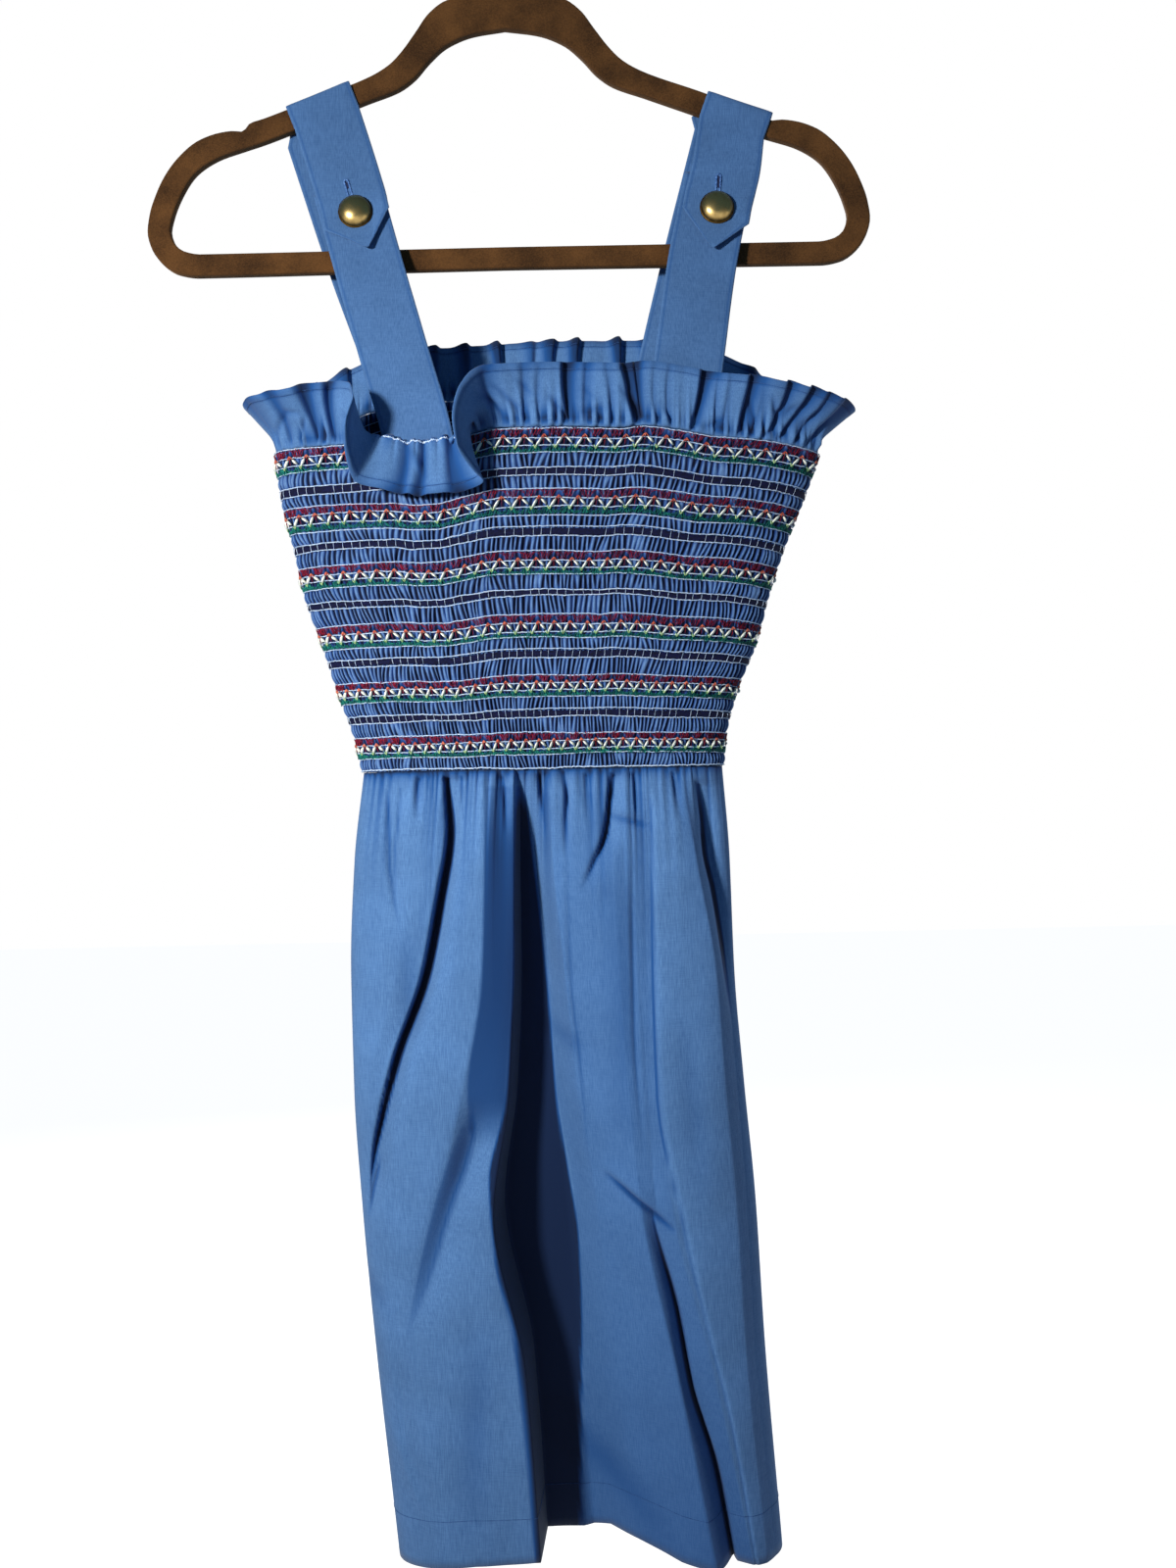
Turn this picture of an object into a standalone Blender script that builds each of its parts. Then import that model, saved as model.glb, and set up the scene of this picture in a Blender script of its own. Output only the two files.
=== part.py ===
# Smocked cotton dress with a ruffled heading, hung by its buttoned straps on a flat hanger.
# Metres, +Z up, the front faces -Y. The origin is where the hook's inside rests on a rail.

import math

import bmesh
import bpy
import numpy as np
from mathutils import Vector

MM = 0.001

# Driving sizes in metres
GAP = 0.3 * MM
CLOTH = 1.2 * MM
SMOCK_WALL = 1.6 * MM
PLEAT_RISE = 1.2 * MM
PLEATS_PER_PANEL = 60
BODICE_ROWS = 7
WAIST_DROP = 545 * MM
HEM_DROP = 1012 * MM
OVAL_POWER = 2.3
RUFFLE_HEIGHT = 37 * MM
STRAP_WIDTH = 42 * MM
STRAP_SEAM = 8 * MM
TAB_SLOT = 4 * MM
BUTTON_DIAMETER = 20.5 * MM
BUTTON_HEIGHT = 6.8 * MM
SHANK_DIAMETER = 2.8 * MM
HANGER_THICKNESS = 6.5 * MM
ARM_SLOPE = math.radians(20.4)
HOOK_WIRE = 3.4 * MM
HOOK_INSIDE = 19 * MM
GATHER_SWING = 2.2 * MM
GATHER_LENGTH = 38 * MM

# Smocked tube: share of the height from the top, left and right edge, half depth front and back (mm)
BODICE_SECTIONS = {
    "level": (0.0, 0.15, 0.30, 0.45, 0.60, 0.75, 0.90, 1.0),
    "left": (-146, -142, -135, -129, -119, -110, -100, -96),
    "right": (187, 176, 164, 154, 146, 134, 126, 124),
    "front": (31, 32, 33, 34, 34, 34, 34, 34),
    "back": (31, 32, 33, 34, 34, 34, 34, 34),
}

# Top edge of the smocking: place across the panel (-1 left seam, 1 right seam), drop below the hook (mm)
TOP_EDGE = {
    -1: {
        "across": (-1.0, -0.72, -0.57, -0.33, -0.12, 0.0, 0.36, 0.66, 1.0),
        "drop": (347, 348, 351, 350, 345, 343, 342, 345, 357),
    },
    1: {
        "across": (-1.0, -0.84, -0.54, -0.10, 0.25, 0.60, 0.84, 1.0),
        "drop": (347, 330, 312, 308, 308, 315, 332, 357),
    },
}

# Ruffle: share of the way from the left seam to the right seam, lean outward (degrees)
RUFFLE_LEAN = {
    -1: {
        "way": (0.0, 0.06, 0.10, 0.145, 0.178, 0.190, 0.200, 0.210, 0.222, 0.240, 0.30, 0.352, 0.367, 0.378, 0.386,
                0.400, 0.42, 0.46, 0.52, 0.66, 0.80, 0.90, 1.0),
        "lean": (42, 38, 26, 16, 28, 56, 92, 124, 148, 158, 164, 160, 156, 128, 102,
                 62, 34, 20, 12, 12, 16, 34, 52),
    },
    1: {
        "way": (0.0, 0.10, 0.25, 0.50, 0.75, 0.90, 1.0),
        "lean": (42, 26, 10, 6, 10, 30, 52),
    },
}
# How far the ruffle's free edge is carried along the seam where the flopped stretch curls over (mm)
RUFFLE_SLIDE = {
    "way": (0.0, 0.17, 0.190, 0.200, 0.210, 0.222, 0.240, 0.262, 0.30, 0.335, 0.357, 0.367, 0.380, 0.390, 0.407,
            0.427, 0.46, 0.508, 1.0),
    "slide": (0, 0, 2, -5, -9, -11, -6, 0, 0, 5, 13, 11, -7, -12, -11,
              -9, -5, 0, 0),
}
# Ruffle's lobes: share of the way along the seam, swing of the free edge outward (mm)
RUFFLE_LOBES = {
    -1: {
        "way": (0.0, 0.020, 0.047, 0.062, 0.090, 0.104, 0.134, 0.146, 0.178, 0.190, 0.200, 0.210, 0.222, 0.240,
                0.258, 0.272, 0.287, 0.312, 0.338, 0.352, 0.367, 0.378, 0.386, 0.400, 0.420, 0.440, 0.465, 0.497,
                0.527, 0.538, 0.560, 0.573, 0.600, 0.622, 0.637, 0.662, 0.700, 0.755, 0.768, 0.795, 0.832, 0.847,
                0.872, 0.905, 0.922, 0.942, 0.960, 0.982, 1.0),
        "swing": (0, 3, -3, 3, -4, 3, -3.5, 2.5, 1, 0, 0, 0, 0, -2.5,
                  2.5, -3, 3, -4, 3, -2, 0, 0, 0, 0, 1, -1.5, 2.5, 1,
                  4, -4, 2.5, 0.5, 3.5, 4.5, -5, 3, 3.5, 4.5, -4.5, 3, 4.5, -4,
                  3.5, -3, 3.5, -4, 3, -3, 0),
    },
    1: {
        "way": (0.0, 0.035, 0.060, 0.100, 0.125, 0.165, 0.185, 0.225, 0.245, 0.285, 0.305, 0.345, 0.360, 0.400,
                0.416, 0.440, 0.490, 0.535, 0.550, 0.585, 0.615, 0.630, 0.655, 0.700, 0.715, 0.755, 0.775, 0.820,
                0.838, 0.870, 0.885, 0.920, 0.945, 0.975, 1.0),
        "swing": (0, 4, -4, 4, -4, 4, -3.5, 4.5, -4, 4, -4, 4.5, -3, 5,
                  -5, 4, 3, 4.5, -4.5, 4, 4.5, -5, 4, 4.5, -4, 4, -4, 4.5,
                  -4, 4, -4, 4, -4, 3, 0),
    },
}

# Skirt: drop below the hook, left and right edge, half depth front and back (mm)
SKIRT_SECTIONS = {
    "drop": (545, 600, 670, 740, 810, 900, 1012),
    "left": (-96, -103, -106.5, -106, -102.5, -95.5, -84),
    "right": (124, 127.5, 129, 133.5, 139, 143, 151),
    "front": (34, 38, 40, 42, 44, 46, 48),
    "back": (34, 38, 41, 43, 45, 47, 48),
}

# Fold lines of the skirt from left to right: columns before the line, place (mm) and
# how far the cloth lies in from the oval (mm), each at the drops of SKIRT_SECTIONS
FRONT_FOLDS = (
    {"name": "left_crest", "columns": 4,
     "place": (-66, -66, -74, -93, -94, -88, -76), "inset": (0, 0, 0, 0, 0, 0, 0)},
    {"name": "long_gap_edge", "columns": 2,
     "place": (-47, -50, -64, -89, -90, -84, -71), "inset": (0, 1, 1, 1, 0, 0, 0)},
    {"name": "long_gap", "columns": 1,
     "place": (-43, -45, -59, -84, -86, -80, -66), "inset": (4, 9, 10, 7, 0, 0, 0)},
    {"name": "left_panel", "columns": 2,
     "place": (-32, -35, -43, -64, -70, -72, -58), "inset": (1, 4, 5, 3, 0, 0, 0)},
    {"name": "left_edge", "columns": 2,
     "place": (-20, -21, -24, -38, -59, -64, -44), "inset": (0, 0, 0, 0, 0, 0, 0)},
    {"name": "slanting_gap", "columns": 1,
     "place": (-15, -15, -18, -30, -50, -50, -30), "inset": (2, 5, 5, 6, 7, 0, 0)},
    {"name": "recess_edge", "columns": 3,
     "place": (-3, -4, -6, -10, -20, -3, 4), "inset": (5, 14, 18, 18, 3, 3, 4)},
    {"name": "recess_wall", "columns": 1,
     "place": (2, 0, -1, -5, -14, 2, 8), "inset": (9, 27, 34, 37, 39, 43, 45)},
    {"name": "recess_floor", "columns": 2,
     "place": (7, 9, 14, 16, 22, 29, 36), "inset": (9, 27, 34, 38, 41, 43, 46)},
    {"name": "recess_slope", "columns": 3,
     "place": (18, 22, 30, 38, 46, 54, 62), "inset": (3, 12, 18, 22, 25, 27, 28)},
    {"name": "short_slant_edge", "columns": 2,
     "place": (52, 42, 48, 54, 58, 72, 90), "inset": (0, 1, 6, 8, 10, 9, 8)},
    {"name": "short_slant", "columns": 1,
     "place": (57, 47, 54, 60, 66, 82, 102), "inset": (5, 6, 5, 6, 7, 5, 3)},
    {"name": "ridge_foot", "columns": 2,
     "place": (70, 72, 72, 74, 77, 95, 118), "inset": (2, 3, 4, 4, 7, 11, 12)},
    {"name": "right_panel", "columns": 2,
     "place": (77, 78, 79, 81, 84, 103, 126), "inset": (0, 0, 0, 0, 0, 0, 0)},
    {"name": "side_gap_edge", "columns": 2,
     "place": (98, 106, 117, 122, 127, 130, 140), "inset": (0, 0, 0, 0, 0, 0, 0)},
    {"name": "side_gap", "columns": 1,
     "place": (102, 110, 121, 126, 131, 134, 144), "inset": (4, 8, 7, 3, 0, 0, 0)},
    {"name": "right_seam", "columns": 3, "place": None, "inset": (0, 0, 0, 0, 0, 0, 0)},
)
BACK_FOLDS = (
    {"name": "back_crest_1", "columns": 5,
     "place": (-72, -76, -80, -82, -80, -74, -64), "inset": (0, 0, 0, 0, 0, 0, 0)},
    {"name": "back_crease_1", "columns": 4,
     "place": (-50, -54, -58, -60, -58, -52, -42), "inset": (3, 9, 13, 15, 16, 17, 18)},
    {"name": "back_crest_2", "columns": 4,
     "place": (-28, -30, -32, -33, -30, -24, -14), "inset": (0, 0, 1, 1, 1, 1, 0)},
    {"name": "back_crease_2", "columns": 4,
     "place": (2, 2, 2, 2, 4, 10, 18), "inset": (4, 12, 16, 18, 19, 20, 20)},
    {"name": "back_crest_3", "columns": 4,
     "place": (22, 24, 26, 27, 30, 36, 46), "inset": (0, 0, 0, 0, 0, 0, 0)},
    {"name": "back_crease_3", "columns": 4,
     "place": (48, 50, 54, 56, 60, 66, 78), "inset": (3, 7, 10, 12, 14, 15, 16)},
    {"name": "back_crest_4", "columns": 5,
     "place": (74, 78, 84, 88, 92, 98, 110), "inset": (0, 0, 0, 0, 0, 0, 0)},
    {"name": "back_crease_4", "columns": 4,
     "place": (98, 104, 108, 112, 117, 121, 131), "inset": (3, 5, 6, 6, 6, 5, 5)},
    {"name": "right_seam", "columns": 6, "place": None, "inset": (0, 0, 0, 0, 0, 0, 0)},
)

# Where each strap crosses the hanger's arm: middle of the strap and the arm's slope (mm, degrees)
ARM_SEAT = {
    "left": {"x": -115.5, "drop": 128.7, "tilt": 20.4},
    "right": {"x": 143.5, "drop": 139.1, "tilt": -20.4},
}
# Strap middles going down from the arm (mm) and the slope of the strap's width (degrees)
TAB_ROWS = {
    "left": {
        "x": (-101.5, -97.2, -93.8, -92.5, -92.0, -88.6, -85.2),
        "drop": (172, 187, 199.5, 206, 208, 217, 226.5),
        "tilt": (18.5, 18, 18, 18, 18, 18, 18),
        "half": (21, 21, 21, 21, 21, 11, 1),
    },
    "right": {
        "x": (134.3, 131.4, 128.2, 126.9, 126.4, 125, 123.8),
        "drop": (178.5, 190, 202, 208.5, 210.5, 221, 231.5),
        "tilt": (-16, -16, -16, -17, -17, -17, -17),
        "half": (21, 21, 21, 21, 21, 11, 1),
    },
}
REAR_ROWS = {
    "left": {"x": (-116.5, -93, -68, -66), "drop": (150, 228, 307, 318), "tilt": (19, 18, 17, 12)},
    "right": {"x": (136, 113, 96, 94), "drop": (157, 240, 308, 319), "tilt": (-18, -14, -12, -8)},
}
FRONT_ROWS = {
    "left": {"x": (-99, -86, -71, -56, -54), "drop": (185, 235, 290, 346, 359), "tilt": (17, 17, 16, 12, 4)},
    "right": {"x": (129.5, 117.5, 109.5, 101, 99.5), "drop": (186, 240, 290, 344, 353),
              "tilt": (-14, -10, -9, -7, -2)},
}
BUTTON_PLACE = {"left": (-92.9, 203.6), "right": (127.4, 205.8)}

# Half outline of the hanger (mm right of its middle, drop below the hook)
HANGER_OUTER = {
    "x": (20, 36, 47, 55, 64, 72, 84, 150, 158, 163, 169, 177, 190, 202, 211, 217, 221, 222.5, 220.5, 214, 204, 192),
    "drop": (67, 71, 79, 90, 102, 110, 117, 141.5, 144, 149, 148.5, 149.5, 154, 163.5, 175, 187, 199, 210, 219,
             229, 235.5, 237.5),
}
HANGER_INNER = {
    "x": (20, 36, 47, 56, 66, 85, 150, 163, 178, 192, 201, 206.5, 208.5, 206, 200, 190),
    "drop": (92, 98.5, 108, 118, 125, 132, 156, 160, 165, 174, 187, 200, 209, 217, 222, 224),
}
ARCH_TOP = 66
ARCH_INSIDE = 89
BAR_TOP = 223.5
BAR_BOTTOM = 236.5


def smooth(knots, values, at):
    """Smooth curve through a table's values that never overshoots them."""
    knots = np.asarray(knots, float)
    values = np.asarray(values, float)
    at = np.clip(np.asarray(at, float), knots[0], knots[-1])
    step = np.diff(knots)
    slope = np.diff(values) / step
    tangent = np.zeros_like(values)
    tangent[0] = slope[0]
    tangent[-1] = slope[-1]
    for i in range(1, len(knots) - 1):
        if slope[i - 1] * slope[i] > 0:
            tangent[i] = 2 * slope[i - 1] * slope[i] / (slope[i - 1] + slope[i])
    i = np.clip(np.searchsorted(knots, at, side="right") - 1, 0, len(step) - 1)
    h = step[i]
    t = (at - knots[i]) / h
    low = (1 + 2 * t) * (1 - t) ** 2 * values[i] + t * (1 - t) ** 2 * h * tangent[i]
    high = t * t * (3 - 2 * t) * values[i + 1] + t * t * (t - 1) * h * tangent[i + 1]
    return low + high


def oval_depth(across):
    """Share of the oval's half depth at a place across it, from -1 to 1."""
    return np.maximum(1 - np.abs(across) ** OVAL_POWER, 0) ** (1 / OVAL_POWER)


def oval_across(way):
    """Place across the oval for a share of the way round it from seam to seam."""
    angle = np.linspace(-math.pi / 2, math.pi / 2, 721)
    power = 2 / OVAL_POWER
    x = 166 * np.sign(np.sin(angle)) * np.abs(np.sin(angle)) ** power
    y = 32 * np.abs(np.cos(angle)) ** power
    length = np.concatenate(([0], np.cumsum(np.hypot(np.diff(x), np.diff(y)))))
    return np.interp(way, length / length[-1], x / 166)


def outward(x, y, side):
    """Unit normals of a seam-to-seam row in plan, away from the middle."""
    dx = np.gradient(x)
    dy = np.gradient(y)
    size = np.hypot(dx, dy)
    return -side * dy / size, side * dx / size


def bodice_row(side, level, way):
    """Middle of the smocked wall along one level: x, y, z and the normal."""
    across = oval_across(way)
    left = smooth(BODICE_SECTIONS["level"], BODICE_SECTIONS["left"], level) * MM
    right = smooth(BODICE_SECTIONS["level"], BODICE_SECTIONS["right"], level) * MM
    depth = smooth(BODICE_SECTIONS["level"], BODICE_SECTIONS["front" if side < 0 else "back"], level) * MM
    x = (left + right) / 2 + (right - left) / 2 * across
    y = side * (depth * oval_depth(across) + GAP / 2)
    top = smooth(TOP_EDGE[side]["across"], TOP_EDGE[side]["drop"], across) * MM
    z = -(top + (WAIST_DROP - top) * level)
    nx, ny = outward(x, y, side)
    return x, y, z, nx, ny


def wall_inside(side, x, drop):
    """Where a strap's middle lies against the inside of the smocked wall."""
    left = BODICE_SECTIONS["left"][0] * MM
    right = BODICE_SECTIONS["right"][0] * MM
    across = (2 * x - left - right) / (right - left)
    top = smooth(TOP_EDGE[side]["across"], TOP_EDGE[side]["drop"], across) * MM
    level = max((drop - top) / (WAIST_DROP - top), 0)
    left = smooth(BODICE_SECTIONS["level"], BODICE_SECTIONS["left"], level) * MM
    right = smooth(BODICE_SECTIONS["level"], BODICE_SECTIONS["right"], level) * MM
    across = (2 * x - left - right) / (right - left)
    depth = smooth(BODICE_SECTIONS["level"], BODICE_SECTIONS["front" if side < 0 else "back"], level) * MM
    y = depth * oval_depth(across) - SMOCK_WALL / 2 - 1.6 * GAP - CLOTH / 2
    return side * y, top


def principled(name, rgb, roughness, metallic=0.0):
    """Plain material of one colour."""
    material = bpy.data.materials.new(name)
    material.use_nodes = True
    shader = material.node_tree.nodes["Principled BSDF"]
    shader.inputs["Base Color"].default_value = (*rgb, 1)
    shader.inputs["Roughness"].default_value = roughness
    shader.inputs["Metallic"].default_value = metallic
    return material


def add_object(name, mesh, material, smooth_faces=True):
    """Link a mesh to the part's collection."""
    obj = bpy.data.objects.new(name, mesh)
    dress.objects.link(obj)
    mesh.materials.append(material)
    if smooth_faces:
        mesh.shade_smooth()
        mesh.set_sharp_from_angle(angle=math.radians(40))
    return obj


def cloth_from_grid(name, grid, material, skip=()):
    """Open sheet through a grid of points, given its thickness by Solidify."""
    bm = bmesh.new()
    rows, columns = grid.shape[:2]
    verts = [[bm.verts.new(grid[r, c]) for c in range(columns)] for r in range(rows)]
    for r in range(rows - 1):
        for c in range(columns - 1):
            if (r, c) not in skip:
                bm.faces.new((verts[r][c], verts[r][c + 1], verts[r + 1][c + 1], verts[r + 1][c]))
    mesh = bpy.data.meshes.new(name)
    bm.to_mesh(mesh)
    bm.free()
    obj = add_object(name, mesh, material)
    solid = obj.modifiers.new("cloth", "SOLIDIFY")
    solid.thickness = CLOTH
    solid.offset = 0
    return obj


def cloth_between(name, outer, inner, material):
    """Closed wall between a fine outer grid and a coarser inner one with as many rows."""
    bm = bmesh.new()
    rows = len(outer)
    out = [[bm.verts.new(point) for point in row] for row in outer]
    ins = [[bm.verts.new(point) for point in row] for row in inner]
    step = (len(out[0]) - 1) // (len(ins[0]) - 1)
    for r in range(rows - 1):
        for c in range(len(out[0]) - 1):
            bm.faces.new((out[r][c], out[r][c + 1], out[r + 1][c + 1], out[r + 1][c]))
        for c in range(len(ins[0]) - 1):
            bm.faces.new((ins[r][c], ins[r + 1][c], ins[r + 1][c + 1], ins[r][c + 1]))
        for c in (0, -1):
            bm.faces.new((out[r][c], out[r + 1][c], ins[r + 1][c], ins[r][c]))
    for r in (0, -1):
        for c in range(len(ins[0]) - 1):
            for k in range(step):
                bm.faces.new((ins[r][c], out[r][c * step + k], out[r][c * step + k + 1]))
            bm.faces.new((ins[r][c], out[r][c * step + step], ins[r][c + 1]))
    bmesh.ops.recalc_face_normals(bm, faces=bm.faces)
    mesh = bpy.data.meshes.new(name)
    bm.to_mesh(mesh)
    bm.free()
    return add_object(name, mesh, material)


for old in list(bpy.data.objects):
    bpy.data.objects.remove(old, do_unlink=True)
dress = bpy.data.collections.new("smocked_dress_on_hanger")
bpy.context.scene.collection.children.link(dress)

cotton = principled("blue_cotton", (0.075, 0.175, 0.380), 0.85)
smocked = principled("smocked_blue_cotton", (0.110, 0.230, 0.450), 0.85)
brass = principled("aged_brass", (0.420, 0.300, 0.110), 0.38, 0.9)
flock = principled("brown_flocking", (0.068, 0.030, 0.010), 0.9)
steel = principled("hook_steel", (0.620, 0.600, 0.560), 0.28, 1.0)

# Smocked panels, with upright pleats raised on a plain inside
for side, name in ((-1, "bodice_front"), (1, "bodice_back")):
    outer = []
    inner = []
    fine = np.linspace(0, 1, 2 * PLEATS_PER_PANEL + 1)
    coarse = np.linspace(0, 1, PLEATS_PER_PANEL // 2 + 1)
    rise = SMOCK_WALL / 2 + PLEAT_RISE * (np.arange(len(fine)) % 2)
    for level in np.linspace(0, 1, BODICE_ROWS + 1):
        x, y, z, nx, ny = bodice_row(side, level, fine)
        row = np.column_stack((x + nx * rise, y + ny * rise, z))
        row[(0, -1), 1] = side * GAP / 2
        outer.append(row)
        x, y, z, nx, ny = bodice_row(side, level, coarse)
        row = np.column_stack((x - nx * SMOCK_WALL / 2, y - ny * SMOCK_WALL / 2, z))
        row[(0, -1), 1] = side * GAP / 2
        inner.append(row)
    cloth_between(name, outer, inner, smocked)

# Heading ruffles, standing on the smocking's top edge, one stretch flopped forward
for side, name in ((-1, "ruffle_front"), (1, "ruffle_back")):
    knots = RUFFLE_LOBES[side]["way"]
    way = np.interp(np.arange(2 * len(knots) - 1) / 2, np.arange(len(knots)), knots)
    lobe = smooth(knots, RUFFLE_LOBES[side]["swing"], way) * MM
    x, y, z, nx, ny = bodice_row(side, 0, way)
    lean = np.radians(smooth(RUFFLE_LEAN[side]["way"], RUFFLE_LEAN[side]["lean"], way))
    flop = np.clip((lean - 1.0) / 1.6, 0, 1)
    bend = (15 - 4 * flop) * MM
    height = RUFFLE_HEIGHT + 3 * MM * flop
    foot = 2 * GAP + CLOTH / 2 * np.sin(np.minimum(lean, math.pi / 2))
    slide = smooth(RUFFLE_SLIDE["way"], RUFFLE_SLIDE["slide"], way) * MM if side < 0 else 0 * way
    rows = []
    steps = 32
    out = np.zeros_like(way)
    up = np.zeros_like(way)
    for i in range(steps + 1):
        share = i / steps
        run = share * height
        turn = lean * np.clip(run / bend, 0, 1)
        if i:
            out = out + np.sin(turn) * height / steps
            up = up + np.cos(turn) * height / steps
        if i in (0, 6, 14, 23, steps):
            swing = lobe * share ** 1.1
            off = out + swing * np.cos(turn)
            rise = up - swing * np.sin(turn)
            along = slide * share ** 1.5
            rows.append(np.column_stack((x + nx * off - ny * along, y + ny * off + nx * along, z + foot + rise)))
    grid = np.array(rows)
    grid[:, (0, -1), 1] = side * 2.1 * GAP
    if side < 0:
        grid = grid[::-1]
    cloth_from_grid(name, grid, cotton)

# Skirt panels through their fold lines, with short gathers under the waist
SKIRT_ROWS = (545.3, 556, 570, 588, 612, 645, 685, 730, 775, 815, 860, 905, 955, 1012)
for side, name, folds in ((-1, "skirt_front", FRONT_FOLDS), (1, "skirt_back", BACK_FOLDS)):
    drops = SKIRT_SECTIONS["drop"]
    rows = []
    for drop in SKIRT_ROWS:
        left = smooth(drops, SKIRT_SECTIONS["left"], drop)
        right = smooth(drops, SKIRT_SECTIONS["right"], drop)
        depth = smooth(drops, SKIRT_SECTIONS["front" if side < 0 else "back"], drop)
        angles = [-math.pi / 2]
        insets = [0.0]
        spread = [-math.pi / 2]
        for fold in folds:
            if fold["place"] is None:
                angle = math.pi / 2
            else:
                place = (2 * smooth(drops, fold["place"], drop) - left - right) / (right - left)
                angle = math.asin(np.clip(place, -1, 1))
            spread.extend(np.linspace(angles[-1], angle, fold["columns"] + 1)[1:])
            angles.append(angle)
            insets.append(float(smooth(drops, fold["inset"], drop)))
        spread = np.array(spread)
        hold = 1 - math.exp(-(drop - 545) / 13)
        inset = smooth(angles, insets, spread) * hold
        across = np.sin(spread)
        x = (left + right) / 2 + (right - left) / 2 * across
        y = depth * oval_depth(across) - inset
        count = np.arange(len(spread))
        fade = math.exp(-(drop - 545) / (GATHER_LENGTH / MM)) * (0.35 + 0.65 * hold)
        gather = GATHER_SWING / MM * fade * np.sin(math.pi / 2 * count) * np.cos(spread)
        y = side * (y - 0.6 + gather)
        y[(0, -1),] = side * GAP / 2 / MM
        rows.append(np.column_stack((x, y, np.full_like(x, -drop))) * MM)
    grid = np.array(rows)
    if side > 0:
        grid = grid[::-1]
    cloth_from_grid(name, grid, cotton)


def lean_to_wall(side, x, drop, near, near_drop):
    """Depth of a strap hanging straight from the arm to the smocked wall."""
    wall, top = wall_inside(side, x, drop)
    if drop >= top:
        return wall
    wall, top = wall_inside(side, x, top)
    share = (top - drop) / (top - near_drop)
    return wall + (near - wall) * share


def front_strap_depth(x, drop):
    return lean_to_wall(-1, x, drop, -4.9 * MM, 168 * MM)


def tab_depth(x, drop, seat_drop):
    """The tab lies on the front strap, and runs straight from there up to the arm."""
    start = 184 * MM
    if drop >= start:
        return front_strap_depth(x, drop) - CLOTH - 1.3 * GAP
    low = front_strap_depth(x, start) - CLOTH - 1.3 * GAP
    near = -(HANGER_THICKNESS / 2 + GAP * 1.5 + CLOTH / 2)
    share = np.clip((start - drop) / (start - seat_drop), 0, 1)
    return low + (near - low) * share


# Straps: rear ones over the arm to a pointed tab, front ones from the panel up under the tab
ACROSS_TAB = np.array((-1, -0.55, -TAB_SLOT / STRAP_WIDTH, TAB_SLOT / STRAP_WIDTH, 0.55, 1))
ACROSS_PLAIN = np.array((-1, -0.5, 0, 0.5, 1))
NEAR = HANGER_THICKNESS / 2 + GAP * 1.5 + CLOTH / 2
for hand, name in (("left", "strap_back_left"), ("right", "strap_back_right")):
    seat = ARM_SEAT[hand]
    seat_tilt = math.radians(seat["tilt"])
    grid = []
    rear = REAR_ROWS[hand]
    lines = np.linspace(0, 1, 7)
    knots = np.array((0, 0.45, 0.93, 1.0))
    for line in lines[::-1]:
        middle = smooth(knots, rear["x"], line) * MM
        drop = smooth(knots, rear["drop"], line) * MM
        tilt = math.radians(smooth(knots, rear["tilt"], line))
        row = []
        for share in ACROSS_TAB:
            x = middle + share * STRAP_WIDTH / 2 * math.cos(tilt)
            low = drop - share * STRAP_WIDTH / 2 * math.sin(tilt)
            y = lean_to_wall(1, x, low, NEAR, rear["drop"][0] * MM - 6 * MM)
            row.append((x, max(y, NEAR), -low))
        grid.append(row)
    # over the arm, in the plane square to it: depth, height above the arm, slide along it
    wrap = ((NEAR, -14, -5), (NEAR, -7, -2.5), (NEAR + 0.2 * MM, -1, -0.5), (NEAR - 0.4 * MM, 1.0, 0),
            (2.6 * MM, 1.7, 0), (0, 1.9, 0), (-2.6 * MM, 1.7, 0), (0.4 * MM - NEAR, 1.0, 0),
            (-NEAR - 0.2 * MM, -1, 0), (-NEAR, -7, 0), (-NEAR, -15, 0))
    sign = math.copysign(1, seat_tilt)
    for depth, high, slide in wrap:
        row = []
        for share in ACROSS_TAB:
            along = share * STRAP_WIDTH / 2 + slide * MM
            x = seat["x"] * MM + along * math.cos(seat_tilt) - high * MM * math.sin(seat_tilt)
            z = -seat["drop"] * MM + along * math.sin(seat_tilt) + high * MM * math.cos(seat_tilt)
            row.append((x, depth, z))
        grid.append(row)
    tab = TAB_ROWS[hand]
    seat_drop = (seat["drop"] + 15 * math.cos(seat_tilt)) * MM
    for middle, drop, tilt, half in zip(tab["x"], tab["drop"], tab["tilt"], tab["half"]):
        row = []
        for share in ACROSS_TAB:
            x = (middle + share * half * math.cos(math.radians(tilt))) * MM
            low = (drop - share * half * math.sin(math.radians(tilt))) * MM
            side_seat = seat_drop - share * STRAP_WIDTH / 2 * math.sin(seat_tilt)
            row.append((x, tab_depth(x, low, side_seat), -low))
        grid.append(row)
    grid = np.array(grid)
    slot_row = len(lines) + len(wrap) + 2
    cloth_from_grid(name, grid, cotton, skip={(slot_row, 2)})

for hand, name in (("left", "strap_front_left"), ("right", "strap_front_right")):
    front = FRONT_ROWS[hand]
    grid = []
    knots = np.array((0, 0.3, 0.6, 0.92, 1.0))
    for line in (0, 0.15, 0.3, 0.45, 0.6, 0.76, 0.9, 1.0):
        middle = smooth(knots, front["x"], line) * MM
        drop = smooth(knots, front["drop"], line) * MM
        tilt = math.radians(smooth(knots, front["tilt"], line))
        row = []
        for share in ACROSS_PLAIN:
            x = middle + share * STRAP_WIDTH / 2 * math.cos(tilt)
            low = drop - share * STRAP_WIDTH / 2 * math.sin(tilt)
            row.append((x, front_strap_depth(x, low), -low))
        grid.append(row)
    cloth_from_grid(name, np.array(grid), cotton)

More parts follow.
